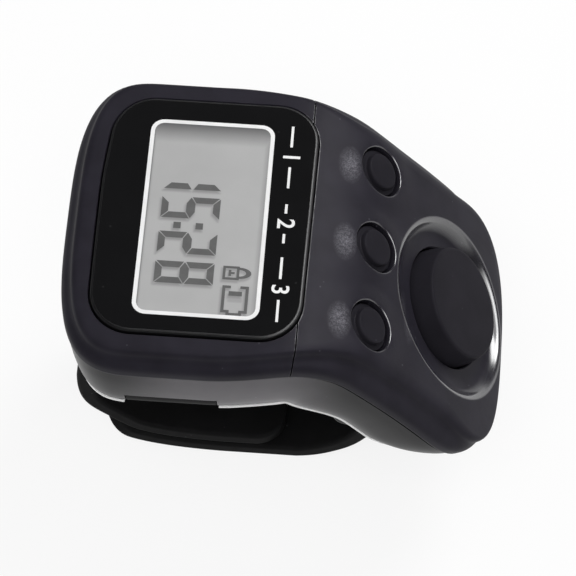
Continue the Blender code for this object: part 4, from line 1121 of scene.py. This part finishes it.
def add_lugs(base, place, rise):
    """Two ears that hold one pin of the strap, rounded at the foot."""
    rim = []
    for i in range(25):
        turn = math.pi * i / 24
        rim.append((LUG_RADIUS * math.cos(turn), LUG_RADIUS * math.sin(turn)))
    rim += [(-LUG_RADIUS, -rise), (LUG_RADIUS, -rise)]
    near = STRAP_HALF + LUG_GAP
    for side in (1, -1):
        low, high = sorted((side * near, side * (near + LUG_THICKNESS)))
        ear = plate("ear", rim, low, high, Matrix.Identity(4))
        edit(ear, "EDGE")
        corners = ear.data.vertices

        def on_a_face(line):
            return any(all(abs(corners[v].co.z - end) < 1e-6 for v in line.vertices) for end in (low, high))

        pick(ear, "edges", on_a_face)
        bpy.ops.mesh.bevel(offset=LUG_EASE, segments=4, affect="EDGES")
        leave_edit()
        ear.data.transform(place @ crosswise(0.0, 0.0, 0.0))
        carve(base, ear, "UNION")
    reach = near + LUG_THICKNESS + OVERRUN
    carve(base, round_bar("pin_hole", PIN_BORE, -reach, reach, place @ crosswise(0.0, 0.0, 0.0)))


def notch_tool(name, gap, low, floor, ease=0.0):
    """The room of the notch in the base's rim, smaller all round by gap."""
    half = NOTCH_WIDTH / 2 - gap
    x = (PORT_MIDDLE - half, PORT_MIDDLE + half)
    return box(name, x, (-HALF_WIDTH - OVERRUN, -floor), (-low, -NOTCH_TOP - gap), LEVEL, ease)


def build_base():
    rows = base_rows(0.0, 0.0)[::-1] + base_rows(SIDE_WALL, FLOOR)
    base = body_stack("lower_shell", rows)
    add_lugs(base, left_pin(), LEFT_PIN[1] + FLOOR / 2)
    add_lugs(base, right_pin(), RIGHT_PIN[1] + FLOOR / 2)
    carve(base, notch_tool("notch", 0.0, DISPLAY_DEPTH + OVERRUN, NOTCH_FLOOR))
    half = PORT_WIDTH / 2 + FIT_GAP
    low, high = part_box("charging_port")
    x = (PORT_MIDDLE - half, PORT_MIDDLE + half)
    y = (low.y - FIT_GAP - ORIGIN.y, high.y + FIT_GAP - ORIGIN.y)
    z = (low.z - FIT_GAP - ORIGIN.z, high.z + FIT_GAP - ORIGIN.z)
    carve(base, box("port_room", x, (y[0] - 0.5 * MM, y[1]), z, LEVEL))
    for s, t in SCREW_PLACES:
        for side in (t, -t):
            depth = body_depth(s)
            ends = (-depth - OVERRUN, -depth + SCREW_RECESS)
            carve(base, round_bar("recess", RECESS_RADIUS, *ends, frame_at(s, side)))
    finish_piece(base, base_finish, "case", ["base_shell"])
    # The ears attribute holds the painted shade on the base's ears and ends.
    ears = [base_darkness(vertex.co) for vertex in base.data.vertices]
    base.data.attributes.new("ears", "FLOAT", "POINT").data.foreach_set("value", ears)
    build_rim_bead()


def base_darkness(point):
    """Painted shade: full on the base's ears, and most of the way toward its two ends."""
    ears = smooth((depth_at(point) - 0.1 * MM) / (0.25 * MM))
    along = point[0] - ORIGIN.x
    ends = smooth((along - BASE_FADE_TIP) / BASE_FADE_RUN) + smooth((BASE_FADE_REAR - along) / BASE_FADE_RUN)
    return max(ears, BASE_FADE * ends)


def depth_at(point):
    """How far a point lies beyond the base's floor, square to the top face above it."""
    local = Vector(point) - ORIGIN
    best = None
    for i in range(121):
        s = -DISPLAY_END + (TIP + DISPLAY_END) * i / 120
        x, z, tilt = profile(s)
        off = abs((local.x - x) * math.cos(tilt) - (local.z - z) * math.sin(tilt))
        if best is None or off < best[0]:
            deep = -(local.x - x) * math.sin(tilt) - (local.z - z) * math.cos(tilt)
            best = (off, deep - body_depth(s))
    return best[1]


def build_rim_bead():
    """A thin pale bead along the lower rim of the base, broken where the notch is: a painted reflection of
    the bright floor.
    """
    deselect()
    bpy.ops.mesh.primitive_torus_add(
        major_segments=BODY_STEPS, minor_segments=10, major_radius=1.0, minor_radius=0.1
    )
    bead = bpy.context.object
    bead.name = "painted_rim_reflection_bead"
    top = PARTING_DEPTH + PARTING_GAP
    for vertex in bead.data.vertices:
        x, y, z = vertex.co
        share = math.atan2(y, x) / (2 * math.pi) % 1.0
        out, up = (math.hypot(x, y) - 1.0) * 10, z * 10
        s, t = OUTLINE.at(share)
        across = OUTLINE.inward(share)
        slope = smooth((s - FLAT_RUN) / (SLOPE_START - FLAT_RUN))
        inset = BASE_INSET * blend(BEAD_FLAT[0], BEAD_SLOPE[0], slope) - out * BEAD_RADIUS
        down = blend(BEAD_FLAT[1], BEAD_SLOPE[1], slope)
        depth = top + down * (body_depth(s) - top) - up * BEAD_RADIUS
        vertex.co = laid(s + across[0] * inset, t + across[1] * inset, depth)
    tidy_normals(bead)
    carve(bead, notch_tool("bead_gap", -0.1 * MM, DISPLAY_DEPTH + OVERRUN, NOTCH_FLOOR))
    finish_piece(bead, white_for_print_and_rim_reflection, "case", angle=60.0)


def build_port_plug():
    """The rubber plug, whose face follows the rim."""
    plug = notch_tool("port_plug", PLUG_GAP, PLUG_LOW, NOTCH_FLOOR + PLUG_GAP, PLUG_EASE)
    solid = body_stack("rim_solid", base_rows(0.02 * MM, 0.0)[::-1])
    carve(plug, solid, "INTERSECT")
    finish_piece(plug, plug_rubber, "port_flap", ["port_cover"])


# ---------------------------------------------------------------- window and display


def build_window():
    low = WINDOW_PROUD - WINDOW_THICKNESS
    lens = slab("window_lens", WINDOW_OUTLINE, low, WINDOW_PROUD, LEVEL, WINDOW_EASE)
    finish_piece(lens, window_black, "case", ["display_window"], 45.0)


def ring_plate(name, outer, inner, low, high):
    place = LEVEL @ Matrix.Translation((0.0, FRAME_MIDDLE, 0.0))
    plate_out = slab(name, outer, low, high, place)
    carve(plate_out, slab(name + "_hole", inner, low - OVERRUN, high + OVERRUN, place))
    return plate_out


def drawn_in(corners, gap):
    """A convex outline moved in by gap on every side."""
    count = len(corners)
    points = [Vector(c) for c in corners]
    turn = sum(a.x * b.y - b.x * a.y for a, b in zip(points, points[1:] + points[:1]))
    if turn < 0:
        points.reverse()
    lines = []
    for i in range(count):
        way = (points[(i + 1) % count] - points[i]).normalized()
        inward = Vector((-way.y, way.x))
        lines.append((points[i] + inward * gap, way))
    moved = []
    for i in range(count):
        (a, u), (b, v) = lines[i - 1], lines[i]
        cross = u.x * v.y - u.y * v.x
        along = ((b.x - a.x) * v.y - (b.y - a.y) * v.x) / cross
        moved.append(a + u * along)
    return moved


def digit_segments(shown, start):
    """The lit segments of one digit, whose top is towards +X and which reads towards -Y."""
    wide, high, bar = DIGIT_WIDTH, DIGIT_HEIGHT, SEGMENT
    half = high / 2
    shapes = {
        "a": [(0, high), (wide, high), (wide - bar, high - bar), (bar, high - bar)],
        "b": [(wide, high), (wide, half), (wide - bar, half + bar * 0.62), (wide - bar, high - bar)],
        "c": [(wide, half), (wide, 0), (wide - bar, bar), (wide - bar, half - bar * 0.62)],
        "d": [(0, 0), (bar, bar), (wide - bar, bar), (wide, 0)],
        "e": [(0, 0), (0, half), (bar, half - bar * 0.62), (bar, bar)],
        "f": [(0, half), (0, high), (bar, high - bar), (bar, half + bar * 0.62)],
        "g": [
            (0, half), (bar, half + bar * 0.62), (wide - bar, half + bar * 0.62), (wide, half),
            (wide - bar, half - bar * 0.62), (bar, half - bar * 0.62),
        ],
    }
    return [[(DIGIT_LOW + v, start - u) for u, v in drawn_in(shapes[name], SEGMENT_GAP)] for name in shown]


def bar_shape(x, y):
    return [(x[0], y[0]), (x[1], y[0]), (x[1], y[1]), (x[0], y[1])]


def display_shapes():
    """Every dark shape of the display as a convex outline: digits, colon, padlock and cell."""
    shapes = []
    for shown, start in (("bc", 5.08), ("acdfg", 1.93), ("abged", -1.86), ("abcdefg", -5.02)):
        shapes += digit_segments(shown, start * MM)
    for x in ((-2.78, -2.10), (-0.74, -0.06)):
        shapes.append(bar_shape([a * MM for a in x], (-1.55 * MM, -0.88 * MM)))
    line = 0.28
    (left, right), (low, high) = (2.25, 4.66), (-10.12, -7.28)
    near, far = 3.02, 3.88
    rows = [
        ((left, left + line), (low, high)), ((right - line, right), (low, high)),
        ((left + line, near), (high - line, high)), ((far, right - line), (high - line, high)),
        ((left + line, near), (low, low + line)), ((far, right - line), (low, low + line)),
        ((near - line, far + line), (low - line, low)), ((2.86, 4.07), (-8.33, -7.86)),
        ((2.16, 3.66), (-5.46, -5.22)), ((2.16, 3.66), (-6.66, -6.42)), ((2.16, 2.40), (-6.42, -5.46)),
        ((3.42, 3.66), (-6.42, -5.46)), ((2.92, 3.24), (-6.05, -5.83)), ((2.68, 2.92), (-6.26, -5.62)),
    ]
    shapes += [bar_shape([a * MM for a in x], [b * MM for b in y]) for x, y in rows]
    middle, outer, inner = (3.62, -5.92), 0.60, 0.35
    arc = [math.pi * (i / 12 - 0.5) for i in range(13)]
    for first, second in zip(arc, arc[1:]):
        quad = []
        for radius, turn in ((outer, first), (outer, second), (inner, second), (inner, first)):
            x, y = middle[0] + 1.9 * radius * math.cos(turn), middle[1] + radius * math.sin(turn)
            quad.append((x * MM, y * MM))
        shapes.append(quad)
    return shapes


def distance_to(points, shape):
    """How far each of many points is from a convex outline, and less than nothing inside."""
    corners = [Vector(c) for c in drawn_in(shape, 0.0)]
    outside = np.full(len(points), 1.0)
    inside = np.full(len(points), -1.0)
    for i, a in enumerate(corners):
        b = corners[(i + 1) % len(corners)]
        way = np.array((b - a)[:])
        length = np.hypot(*way)
        way = way / length
        rel = points - np.array(a[:])
        run = np.clip(rel @ way, 0.0, length)
        outside = np.minimum(outside, np.hypot(*(rel - run[:, None] * way).T))
        inside = np.maximum(inside, rel[:, 0] * way[1] - rel[:, 1] * way[0])
    return np.where(inside < 0, inside, outside)


def build_display():
    """The grey face with its soft shadows, the line round it, and the dark shapes on it."""
    top = WINDOW_PROUD + PRINT
    half_x, half_y = FRAME_OUTER[0] / 2 - 0.1 * MM, FRAME_OUTER[1] / 2 - 0.1 * MM
    deselect()
    bpy.ops.mesh.primitive_grid_add(x_subdivisions=104, y_subdivisions=196, size=2.0)
    face = bpy.context.object
    face.name = "display_face"
    radius = FRAME_CORNER - 0.1 * MM
    for vertex in face.data.vertices:
        x, y = vertex.co.x * half_x, vertex.co.y * half_y
        over_x, over_y = abs(x) - half_x + radius, abs(y) - half_y + radius
        if over_x > 0 and over_y > 0:
            pull = max(over_x, over_y) / math.hypot(over_x, over_y)
            x = math.copysign(half_x - radius + over_x * pull, x)
            y = math.copysign(half_y - radius + over_y * pull, y)
        vertex.co = (x, y + FRAME_MIDDLE, top - PRINT)
    edit(face)
    bpy.ops.mesh.select_all(action="SELECT")
    bpy.ops.mesh.extrude_region_move(TRANSFORM_OT_translate={"value": (0.0, 0.0, PRINT / 2)})
    leave_edit()
    tidy_normals(face)
    places = np.array([(v.co.x, v.co.y) for v in face.data.vertices])
    shade = np.zeros(len(places))
    # Painted shadows of the dark shapes, each moved a little aside; a fainter painted shadow beside one bar;
    # painted shade along the frame's top, left and right edges.
    shift = np.array((-0.10 * MM, -0.26 * MM))
    for shape in display_shapes():
        away = distance_to(places - shift, shape)
        shade = np.maximum(shade, 0.42 * np.clip(1 - (away + 0.10 * MM) / (0.28 * MM), 0.0, 1.0))
    bar_shadow = bar_shape((2.86 * MM, 4.07 * MM), (-8.93 * MM, -8.47 * MM))
    shade = np.maximum(shade, 0.22 * np.clip(1 - distance_to(places, bar_shadow) / (0.15 * MM), 0.0, 1.0))
    inner_x, inner_y = FRAME_OUTER[0] / 2 - FRAME_LINE, FRAME_OUTER[1] / 2 - FRAME_LINE
    from_top = np.clip((inner_y + FRAME_MIDDLE - places[:, 1]) / (2.1 * MM), 0.0, 1.0)
    shade = np.maximum(shade, 0.85 * (1 - from_top))
    from_left = np.clip((places[:, 0] + inner_x) / (0.2 * MM), 0.0, 1.0)
    shade = np.maximum(shade, 0.75 * (1 - from_left))
    from_right = np.clip((inner_x - places[:, 0]) / (0.5 * MM), 0.0, 1.0)
    shade = np.maximum(shade, 0.34 * (1 - from_right))
    attribute = face.data.attributes.new("shade", "FLOAT", "POINT")
    attribute.data.foreach_set("value", shade.astype(np.float32))
    face.data.transform(LEVEL)
    finish_piece(face, display_grey, "case")
    outer = Around(rounded_rectangle(*FRAME_OUTER, FRAME_CORNER))
    inner_size = (FRAME_OUTER[0] - 2 * FRAME_LINE, FRAME_OUTER[1] - 2 * FRAME_LINE)
    inner = Around(rounded_rectangle(*inner_size, FRAME_CORNER - FRAME_LINE))
    line = ring_plate("display_line", outer, inner, WINDOW_PROUD - 0.05 * MM, top + PRINT)
    finish_piece(line, white_for_print_and_rim_reflection, "case")
    parts = [plate("shape", shape, top - PRINT, top + PRINT / 2, LEVEL) for shape in display_shapes()]
    finish_piece(joined("display_digits", parts), segment_grey, "case")


def build_marks():
    """Plain numbers for the three small keys, each between two short bars."""
    low, high = WINDOW_PROUD - 0.04 * MM, WINDOW_PROUD + PRINT
    parts = []
    for number, middle, reach in ((1, 6.9, 3.4), (2, -0.35, 2.1), (3, -7.35, 3.4)):
        deselect()
        bpy.ops.object.text_add(location=(0.0, 0.0, 0.0))
        text = bpy.context.object
        text.data.body = str(number)
        text.data.size = NUMBER_SIZE
        text.data.align_x = "CENTER"
        text.data.align_y = "CENTER"
        text.data.extrude = (high - low) / 2
        text.data.offset = 0.03 * MM
        work_on(text)
        bpy.ops.object.convert(target="MESH")
        turn = Matrix.Rotation(-math.pi / 2, 4, "Z")
        text.data.transform(LEVEL @ Matrix.Translation((NUMBER_AT, middle * MM, (low + high) / 2)) @ turn)
        parts.append(text)
        for side in (1, -1):
            y = sorted((middle + side * BAR_START, middle + side * reach))
            mark = bar_shape(NUMBER_BAR, [value * MM for value in y])
            parts.append(plate("mark", mark, low, high, LEVEL))
    finish_piece(joined("key_numbers", parts), white_for_print_and_rim_reflection, "case")


# ---------------------------------------------------------------- keys


def lowest(node, place):
    """The lowest height of a CAD node, measured in a frame."""
    back = place.inverted()
    return min((back @ vertex.co).z for vertex in bpy.data.objects[node].data.vertices)


def build_keys():
    for name, key in (("rear", 1), ("middle", 0), ("front", -1)):
        place = frame_at(SMALL_KEY_AT, key * SMALL_KEY_PITCH)
        foot = lowest(f"key_{name}", place)
        line = eased(
            [
                (0.6 * MM, SMALL_PROUD + 0.03 * MM, 0.0),
                (SMALL_DISC, SMALL_PROUD + 0.03 * MM, 0.22 * MM),
                (SMALL_DISC + 0.02 * MM, -0.30 * MM, 0.12 * MM),
                (SMALL_SKIRT, -0.33 * MM, 0.12 * MM),
                (SMALL_SKIRT, -1.9 * MM, 0.0),
                (1.2 * MM, -1.95 * MM, 0.0),
                (1.2 * MM, foot, 0.0),
            ]
        )
        cap = turned(f"small_key_{name}", line, 96, place)
        finish_piece(cap, key_finish, f"{name}_key", [f"key_{name}"])
    line = eased(
        [
            (1.0 * MM, COUNT_PROUD, 0.0),
            (COUNT_DISC, COUNT_PROUD, 0.3 * MM),
            (COUNT_SKIRT, -0.9 * MM, 0.3 * MM),
            (COUNT_SKIRT, -2.6 * MM, 0.0),
            (2.0 * MM, -2.7 * MM, 0.0),
            (2.0 * MM, lowest("count_button", frame_at(COUNT_AT)), 0.0),
        ],
        6,
    )
    cap = turned("big_count_key", line, 160, frame_at(COUNT_AT))
    finish_piece(cap, key_finish, "count_key", ["count_button"])


# ---------------------------------------------------------------- strap


def smooth_path(points, step):
    """Points a step apart on a smooth curve through the given points."""
    path = []
    ends = [points[0] * 2 - points[1]] + list(points) + [points[-1] * 2 - points[-2]]
    for i in range(1, len(points)):
        a, b, c, d = ends[i - 1 : i + 3]
        count = max(1, round((c - b).length / step))
        for j in range(count):
            u = j / count
            path.append(curve_point(a, b, c, d, u))
    return path + [points[-1]]


def path_normals(path):
    normals = []
    for i in range(len(path)):
        way = path[min(i + 1, len(path) - 1)] - path[max(i - 1, 0)]
        normals.append(Vector((-way.z, 0.0, way.x)).normalized())
    return normals


def under_finger():
    tip_x, rise = STRAP_TIP
    left, right = STRAP_FLAT
    tip = Vector((tip_x, 0.0, STRAP_BOTTOM + rise))
    run = left - tip_x
    curve = [Vector((tip_x + run * a, 0.0, STRAP_BOTTOM + rise * b)) for a, b in STRAP_TIP_SHARES]
    return [tip] + curve + [Vector((left, 0.0, STRAP_BOTTOM)), Vector((right, 0.0, STRAP_BOTTOM))]


def levelled(path):
    return [Vector((point.x, point.y, max(point.z, STRAP_BOTTOM))) for point in path]


def right_band_path():
    pin = right_pin().to_translation() - ORIGIN
    drop = pin.z - STRAP_BOTTOM
    right = STRAP_FLAT[1]
    reach = STRAP_RIGHT_FACE - right
    rise = [Vector((right + reach * a, 0.0, STRAP_BOTTOM + drop * b)) for a, b in STRAP_RIGHT_SHARES]
    return levelled(smooth_path(under_finger() + rise + [pin], BAND_STEP))[::-1]


def left_band_path():
    pin = left_pin().to_translation() - ORIGIN
    under = levelled(smooth_path(under_finger(), BAND_STEP))
    inside = []
    for point, normal in zip(under, path_normals(under)):
        inside.append(point + normal * (STRAP_THICKNESS + STRAP_LAP_GAP))
    inside = [p for p in inside if p.x < STRAP_END]
    drop = pin.z - inside[0].z
    side = []
    for (a, b), end in zip(STRAP_LEFT_SHARES, (pin, pin, inside[0])):
        side.append(Vector((STRAP_LEFT_FACE + (end.x - STRAP_LEFT_FACE) * a, 0.0, pin.z - drop * b)))
    return smooth_path([pin] + side + [inside[0]], BAND_STEP) + inside[1:]


def ribbon(name, path):
    """A moulded band along a path, with round edges and a rounded tip."""
    normals = path_normals(path)
    runs = [0.0]
    for a, b in zip(path, path[1:]):
        runs.append(runs[-1] + (b - a).length)
    length = runs[-1]
    stations = [(run, 0.0) for run in runs if run < length - STRAP_CORNER]
    for i in range(1, 15):
        run = length - STRAP_CORNER + (STRAP_CORNER - STRAP_ROUND) * math.sin(math.pi / 2 * i / 14)
        stations.append((run, 0.0))
    for i in range(1, 6):
        turn = math.pi / 2 * i / 5
        run = length - STRAP_ROUND + STRAP_ROUND * math.sin(turn)
        stations.append((run, STRAP_ROUND * (1 - math.cos(turn))))
    section = Around(rounded_rectangle(2.0, 2.0, 0.5, 0.0, 6))

    def at(run):
        i = min(len(runs) - 2, max(0, int(np.searchsorted(runs, run)) - 1))
        u = (run - runs[i]) / (runs[i + 1] - runs[i])
        return path[i].lerp(path[i + 1], u), normals[i].lerp(normals[i + 1], u).normalized()

    def point(share, level, out):
        run, inset = stations[level]
        middle, normal = at(run)
        share_in = max(0.0, 1 - (length - run) / STRAP_CORNER)
        half = STRAP_HALF - STRAP_CORNER * (1 - math.sqrt(max(0.0, 1 - share_in * share_in))) - inset
        thick = STRAP_THICKNESS / 2 - inset
        a, b = section.at(share)
        ease = min(0.5 * STRAP_THICKNESS / 2 / half, 0.5)
        over = max(0.0, abs(a) - 0.5) / 0.5
        across = math.copysign((1 - ease) * min(1.0, abs(a) / 0.5) + ease * over, a) * half
        return ORIGIN + middle + (normal * b * thick + Vector((0.0, across, 0.0))) * out

    return wound(name, 64, len(stations), point)


def add_barrel(strap, place):
    across = place @ crosswise(0.0, 0.0, 0.0)
    carve(strap, round_bar("barrel", BARREL_RADIUS, -STRAP_HALF, STRAP_HALF, across, BARREL_EASE), "UNION")
    reach = STRAP_HALF + OVERRUN
    carve(strap, round_bar("bore", PIN_BORE, -reach, reach, across))


def build_straps():
    left = ribbon("inner_band", left_band_path())
    stud_top = STRAP_BOTTOM + STRAP_THICKNESS + STRAP_LAP_GAP
    low = stud_top - STRAP_THICKNESS / 2 - STUD_HEIGHT
    stud_place = LEVEL @ Matrix.Translation((STUD_AT, 0.0, 0.0))
    carve(left, round_bar("stud", STUD_RADIUS, low, stud_top, stud_place, STUD_EASE), "UNION")
    add_barrel(left, left_pin())
    finish_piece(left, silicone, "band_left", ["strap_left"], 40.0)
    path = right_band_path()
    right = ribbon("outer_band", path)
    normals = path_normals(path)
    slot_size = (2 * SLOT_HALF_LENGTH, 2 * SLOT_HALF_WIDTH, SLOT_HALF_WIDTH * SLOT_ROUND)
    outline = Around(rounded_rectangle(*slot_size, steps=10))
    foot = [i for i in range(len(path)) if path[i].z < STRAP_BOTTOM / 2]
    for number in (-1, 0, 1):
        x = STUD_AT + number * SLOT_PITCH
        nearest = min(foot, key=lambda i: abs(path[i].x - x))
        normal = normals[nearest]
        tilt = math.atan2(-normal.x, -normal.z)
        place = LEVEL @ Matrix.Translation((x, 0.0, path[nearest].z)) @ Matrix.Rotation(tilt, 4, "Y")
        carve(right, slab("slot", outline, -STRAP_THICKNESS, STRAP_THICKNESS, place))
    add_barrel(right, right_pin())
    finish_piece(right, silicone, "band_right", ["strap_right"], 40.0)


# ---------------------------------------------------------------- finishes of the pieces that stay


def metal(name, dark, light, roughness):
    """Drawn or turned metal with fine streaks."""
    material, tree, shader = new_material(name, Metallic=1.0)
    stretch = tree.nodes.new("ShaderNodeMapping")
    stretch.inputs["Scale"].default_value = (1.0, 0.06, 1.0)
    tree.links.new(own_place(tree), stretch.inputs["Vector"])
    streaks = noise(tree, 5200.0, 4.0, 0.6, stretch.outputs["Vector"])
    film = use(tree, DUST, Scale=900.0, Amount=0.6)
    paint(tree, shader, mix_colours(tree, spread(tree, streaks, 0.3, 0.7), dark, light))
    rough = math_node(tree, "MULTIPLY", film["Mask"], 0.15)
    tree.links.new(math_node(tree, "ADD", rough, roughness), shader.inputs["Roughness"])
    bump(tree, shader, streaks, 0.08, 0.01 * MM)
    return material


def circuit():
    """Green board: solder mask with copper tracks under it and small plated dots."""
    material, tree, shader = new_material("circuit_board", Coat_Weight=0.5, Coat_Roughness=0.15)
    place = own_place(tree)
    brick = tree.nodes.new("ShaderNodeTexBrick")
    brick.inputs["Scale"].default_value = 420.0
    brick.inputs["Mortar Size"].default_value = 0.06
    for label, grey in (("Color1", 0.0), ("Color2", 0.0), ("Mortar", 1.0)):
        brick.inputs[label].default_value = (*even(grey), 1.0)
    tree.links.new(place, brick.inputs["Vector"])
    dots = tree.nodes.new("ShaderNodeTexVoronoi")
    dots.inputs["Scale"].default_value = 700.0
    tree.links.new(place, dots.inputs["Vector"])
    pad = spread(tree, dots.outputs["Distance"], 0.12, 0.18, 1.0, 0.0)
    patches = spread(tree, noise(tree, 500.0, 3.0, 0.6), 0.3, 0.7)
    mask = mix_colours(tree, patches, (0.008, 0.055, 0.020), (0.012, 0.080, 0.030))
    mask = mix_colours(tree, brick.outputs["Fac"], mask, (0.020, 0.130, 0.040))
    paint(tree, shader, mix_colours(tree, pad, mask, (0.60, 0.52, 0.30)))
    tree.links.new(spread(tree, pad, 0.0, 1.0, 0.42, 0.25), shader.inputs["Roughness"])
    bump(tree, shader, brick.outputs["Fac"], 0.15, 0.02 * MM)
    return material


def dress_nodes():
    """Gives every CAD node that stays its own detailed finish."""
    steel = metal("bright_steel", (0.46, 0.46, 0.47), (0.62, 0.62, 0.63), 0.22)
    foil = metal("battery_foil", (0.50, 0.50, 0.52), (0.66, 0.66, 0.68), 0.34)
    chip = moulded("chip_resin", (0.010, 0.010, 0.011), (0.022, 0.022, 0.023), 0.5, 12000.0, 0.2)
    white = moulded("white_moulding", (0.62, 0.62, 0.60), (0.74, 0.74, 0.72), 0.42, 9000.0, 0.08)
    pale, paler = (0.55, 0.60, 0.62), (0.70, 0.75, 0.77)
    guide = moulded("light_guide", pale, paler, 0.2, 5000.0, 0.03, Transmission_Weight=0.6)
    dim, dimmer = (0.30, 0.32, 0.30), (0.22, 0.24, 0.22)
    glass = moulded("display_glass", dimmer, dim, 0.12, 5000.0, 0.02, Coat_Weight=1.0)
    rubber = moulded("connector_rubber", (0.32, 0.10, 0.10), (0.42, 0.16, 0.15), 0.6, 8000.0, 0.12)
    foam = moulded("foam_pad", (0.020, 0.020, 0.021), (0.060, 0.060, 0.062), 0.85, 3500.0, 0.7)
    amber = moulded("amber_film", (0.42, 0.17, 0.02), (0.56, 0.26, 0.05), 0.3, 4200.0, 0.05, Coat_Weight=0.6)
    board = circuit()
    finishes = {
        "backlight_led": white, "lcd_holder": white, "light_guide": guide, "lcd_panel": glass,
        "zebra_strip": rubber, "main_board": board, "key_board": board, "battery": foil,
        "battery_pad": foam, "window_tape": foam, "ribbon_link": amber, "controller_chip": chip,
        "charge_chip": chip, "crystal": steel, "charging_port": steel, "count_plunger": white,
    }
    finishes |= {f"{name}_switch": chip for name in ("count", "rear", "middle", "front")}
    finishes |= {f"{name}_plunger": white for name in ("rear", "middle", "front")}
    finishes |= {f"screw_{number}": steel for number in range(1, 5)}
    finishes |= {f"strap_pin_{side}": steel for side in ("left", "right")}
    for node, material in finishes.items():
        for holder in bpy.data.objects[node].material_slots:
            holder.material = material


# ---------------------------------------------------------------- floor, light and camera


def direction(azimuth, elevation):
    """A unit vector: azimuth from +X towards +Y, and elevation, both in degrees."""
    turn, rise = math.radians(azimuth), math.radians(elevation)
    return Vector((math.cos(turn) * math.cos(rise), math.sin(turn) * math.cos(rise), math.sin(rise)))


def add_lamp(name, azimuth, elevation, distance, size, watts, in_gloss=True):
    lamp = bpy.data.lights.new(name, "AREA")
    lamp.shape = "RECTANGLE"
    lamp.size, lamp.size_y = size
    lamp.energy = watts
    obj = bpy.data.objects.new(name, lamp)
    obj.visible_glossy = in_gloss
    bpy.context.scene.collection.objects.link(obj)
    way = direction(azimuth, elevation)
    facing = way.to_track_quat("Z", "Y").to_matrix().to_4x4()
    obj.matrix_world = Matrix.Translation(ORIGIN + way * distance) @ facing


def seen_by(tree, plain, seen, mirrored, share):
    """The plain shader, with another for the camera's rays and a third for those off gloss and glass."""
    paths = tree.nodes.new("ShaderNodeLightPath").outputs
    gloss = math_node(tree, "MAXIMUM", paths["Is Glossy Ray"], paths["Is Transmission Ray"])
    mixed = plain
    for ray, shader in ((gloss, mirrored), (paths["Is Camera Ray"], seen)):
        mix = tree.nodes.new("ShaderNodeMixShader")
        tree.links.new(math_node(tree, "MULTIPLY", ray, share), mix.inputs["Fac"])
        tree.links.new(mixed, mix.inputs[1])
        tree.links.new(shader, mix.inputs[2])
        mixed = mix.outputs[0]
    return mixed


def glowing(tree, kind, grey):
    node = tree.nodes.new(kind)
    node.inputs["Color"].default_value = (*even(grey), 1.0)
    return node.outputs[0]


def add_floor():
    deselect()
    bpy.ops.mesh.primitive_plane_add(size=3.0, location=(0.0, 0.0, -FLOOR_GAP))
    floor = bpy.context.object
    floor.name = "floor"
    material, tree, shader = new_material("pale_floor", Roughness=0.9, Specular_IOR_Level=0.1)
    soft = spread(tree, noise(tree, 30.0, 3.0, 0.5), 0.3, 0.7)
    paint(tree, shader, mix_colours(tree, soft, even(0.90), even(0.92)))
    white = glowing(tree, "ShaderNodeEmission", 1.0)
    mixed = seen_by(tree, shader.outputs[0], white, white, 0.85)
    mix = tree.nodes.new("ShaderNodeMixShader")
    tree.links.new(tree.nodes.new("ShaderNodeNewGeometry").outputs["Backfacing"], mix.inputs["Fac"])
    tree.links.new(mixed, mix.inputs[1])
    tree.links.new(tree.nodes.new("ShaderNodeBsdfTransparent").outputs[0], mix.inputs[2])
    tree.links.new(mix.outputs[0], tree.nodes["Material Output"].inputs["Surface"])
    floor.data.materials.append(material)


def add_light():
    """White to the camera; gloss sees a bright right side and horizon under a dark ceiling."""
    world = bpy.data.worlds.new("studio")
    bpy.context.scene.world = world
    world.use_nodes = True
    tree = world.node_tree
    fill, white, room = (glowing(tree, "ShaderNodeBackground", grey) for grey in (0.32, 1.0, 1.0))
    way = tree.nodes.new("ShaderNodeSeparateXYZ")
    tree.links.new(tree.nodes.new("ShaderNodeTexCoord").outputs["Generated"], way.inputs[0])
    right_side = spread(tree, way.outputs["X"], 0.16, 0.52, 0.0, 7.0)
    right_side = math_node(tree, "MULTIPLY", right_side, spread(tree, way.outputs["Z"], 0.48, 0.74))
    horizon = spread(tree, way.outputs["Z"], 0.22, 0.04, 0.045, 0.5)
    bright = math_node(tree, "ADD", right_side, horizon)
    tree.links.new(bright, room.node.inputs["Strength"])
    mixed = seen_by(tree, fill, white, room, 1.0)
    tree.links.new(mixed, tree.nodes["World Output"].inputs["Surface"])
    add_lamp("back_right", 52.0, 48.0, 0.5, (0.22, 0.22), 1.3)
    add_lamp("front", -95.0, 62.0, 0.6, (0.45, 0.3), 1.5, in_gloss=False)
    add_lamp("left", 175.0, 35.0, 0.6, (0.3, 0.35), 0.45, in_gloss=False)


def add_camera():
    turn, rise, roll = CAMERA_TURN, CAMERA_RISE, CAMERA_ROLL
    back = Vector((math.sin(turn) * math.cos(rise), -math.cos(turn) * math.cos(rise), math.sin(rise)))
    right = Vector((math.cos(turn), math.sin(turn), 0.0))
    up = back.cross(right)
    across = right * math.cos(roll) + up * math.sin(roll)
    upward = up * math.cos(roll) - right * math.sin(roll)
    camera = bpy.data.cameras.new("camera")
    camera.sensor_width = 36.0
    camera.lens = CAMERA_LENS
    camera.clip_start = 0.01
    obj = bpy.data.objects.new("camera", camera)
    bpy.context.scene.collection.objects.link(obj)
    place = ORIGIN + across * CAMERA_SHIFT[0] + upward * CAMERA_SHIFT[1] + back * CAMERA_DISTANCE
    facing = Matrix((across, upward, back)).transposed().to_4x4()
    obj.matrix_world = Matrix.Translation(place) @ facing
    bpy.context.scene.camera = obj


build_upper_shells()
build_seam_lap()
build_base()
build_port_plug()
build_window()
build_display()
build_marks()
build_keys()
build_straps()
dress_nodes()
add_floor()
add_light()
add_camera()
scene = bpy.context.scene
scene.view_settings.view_transform = "Standard"
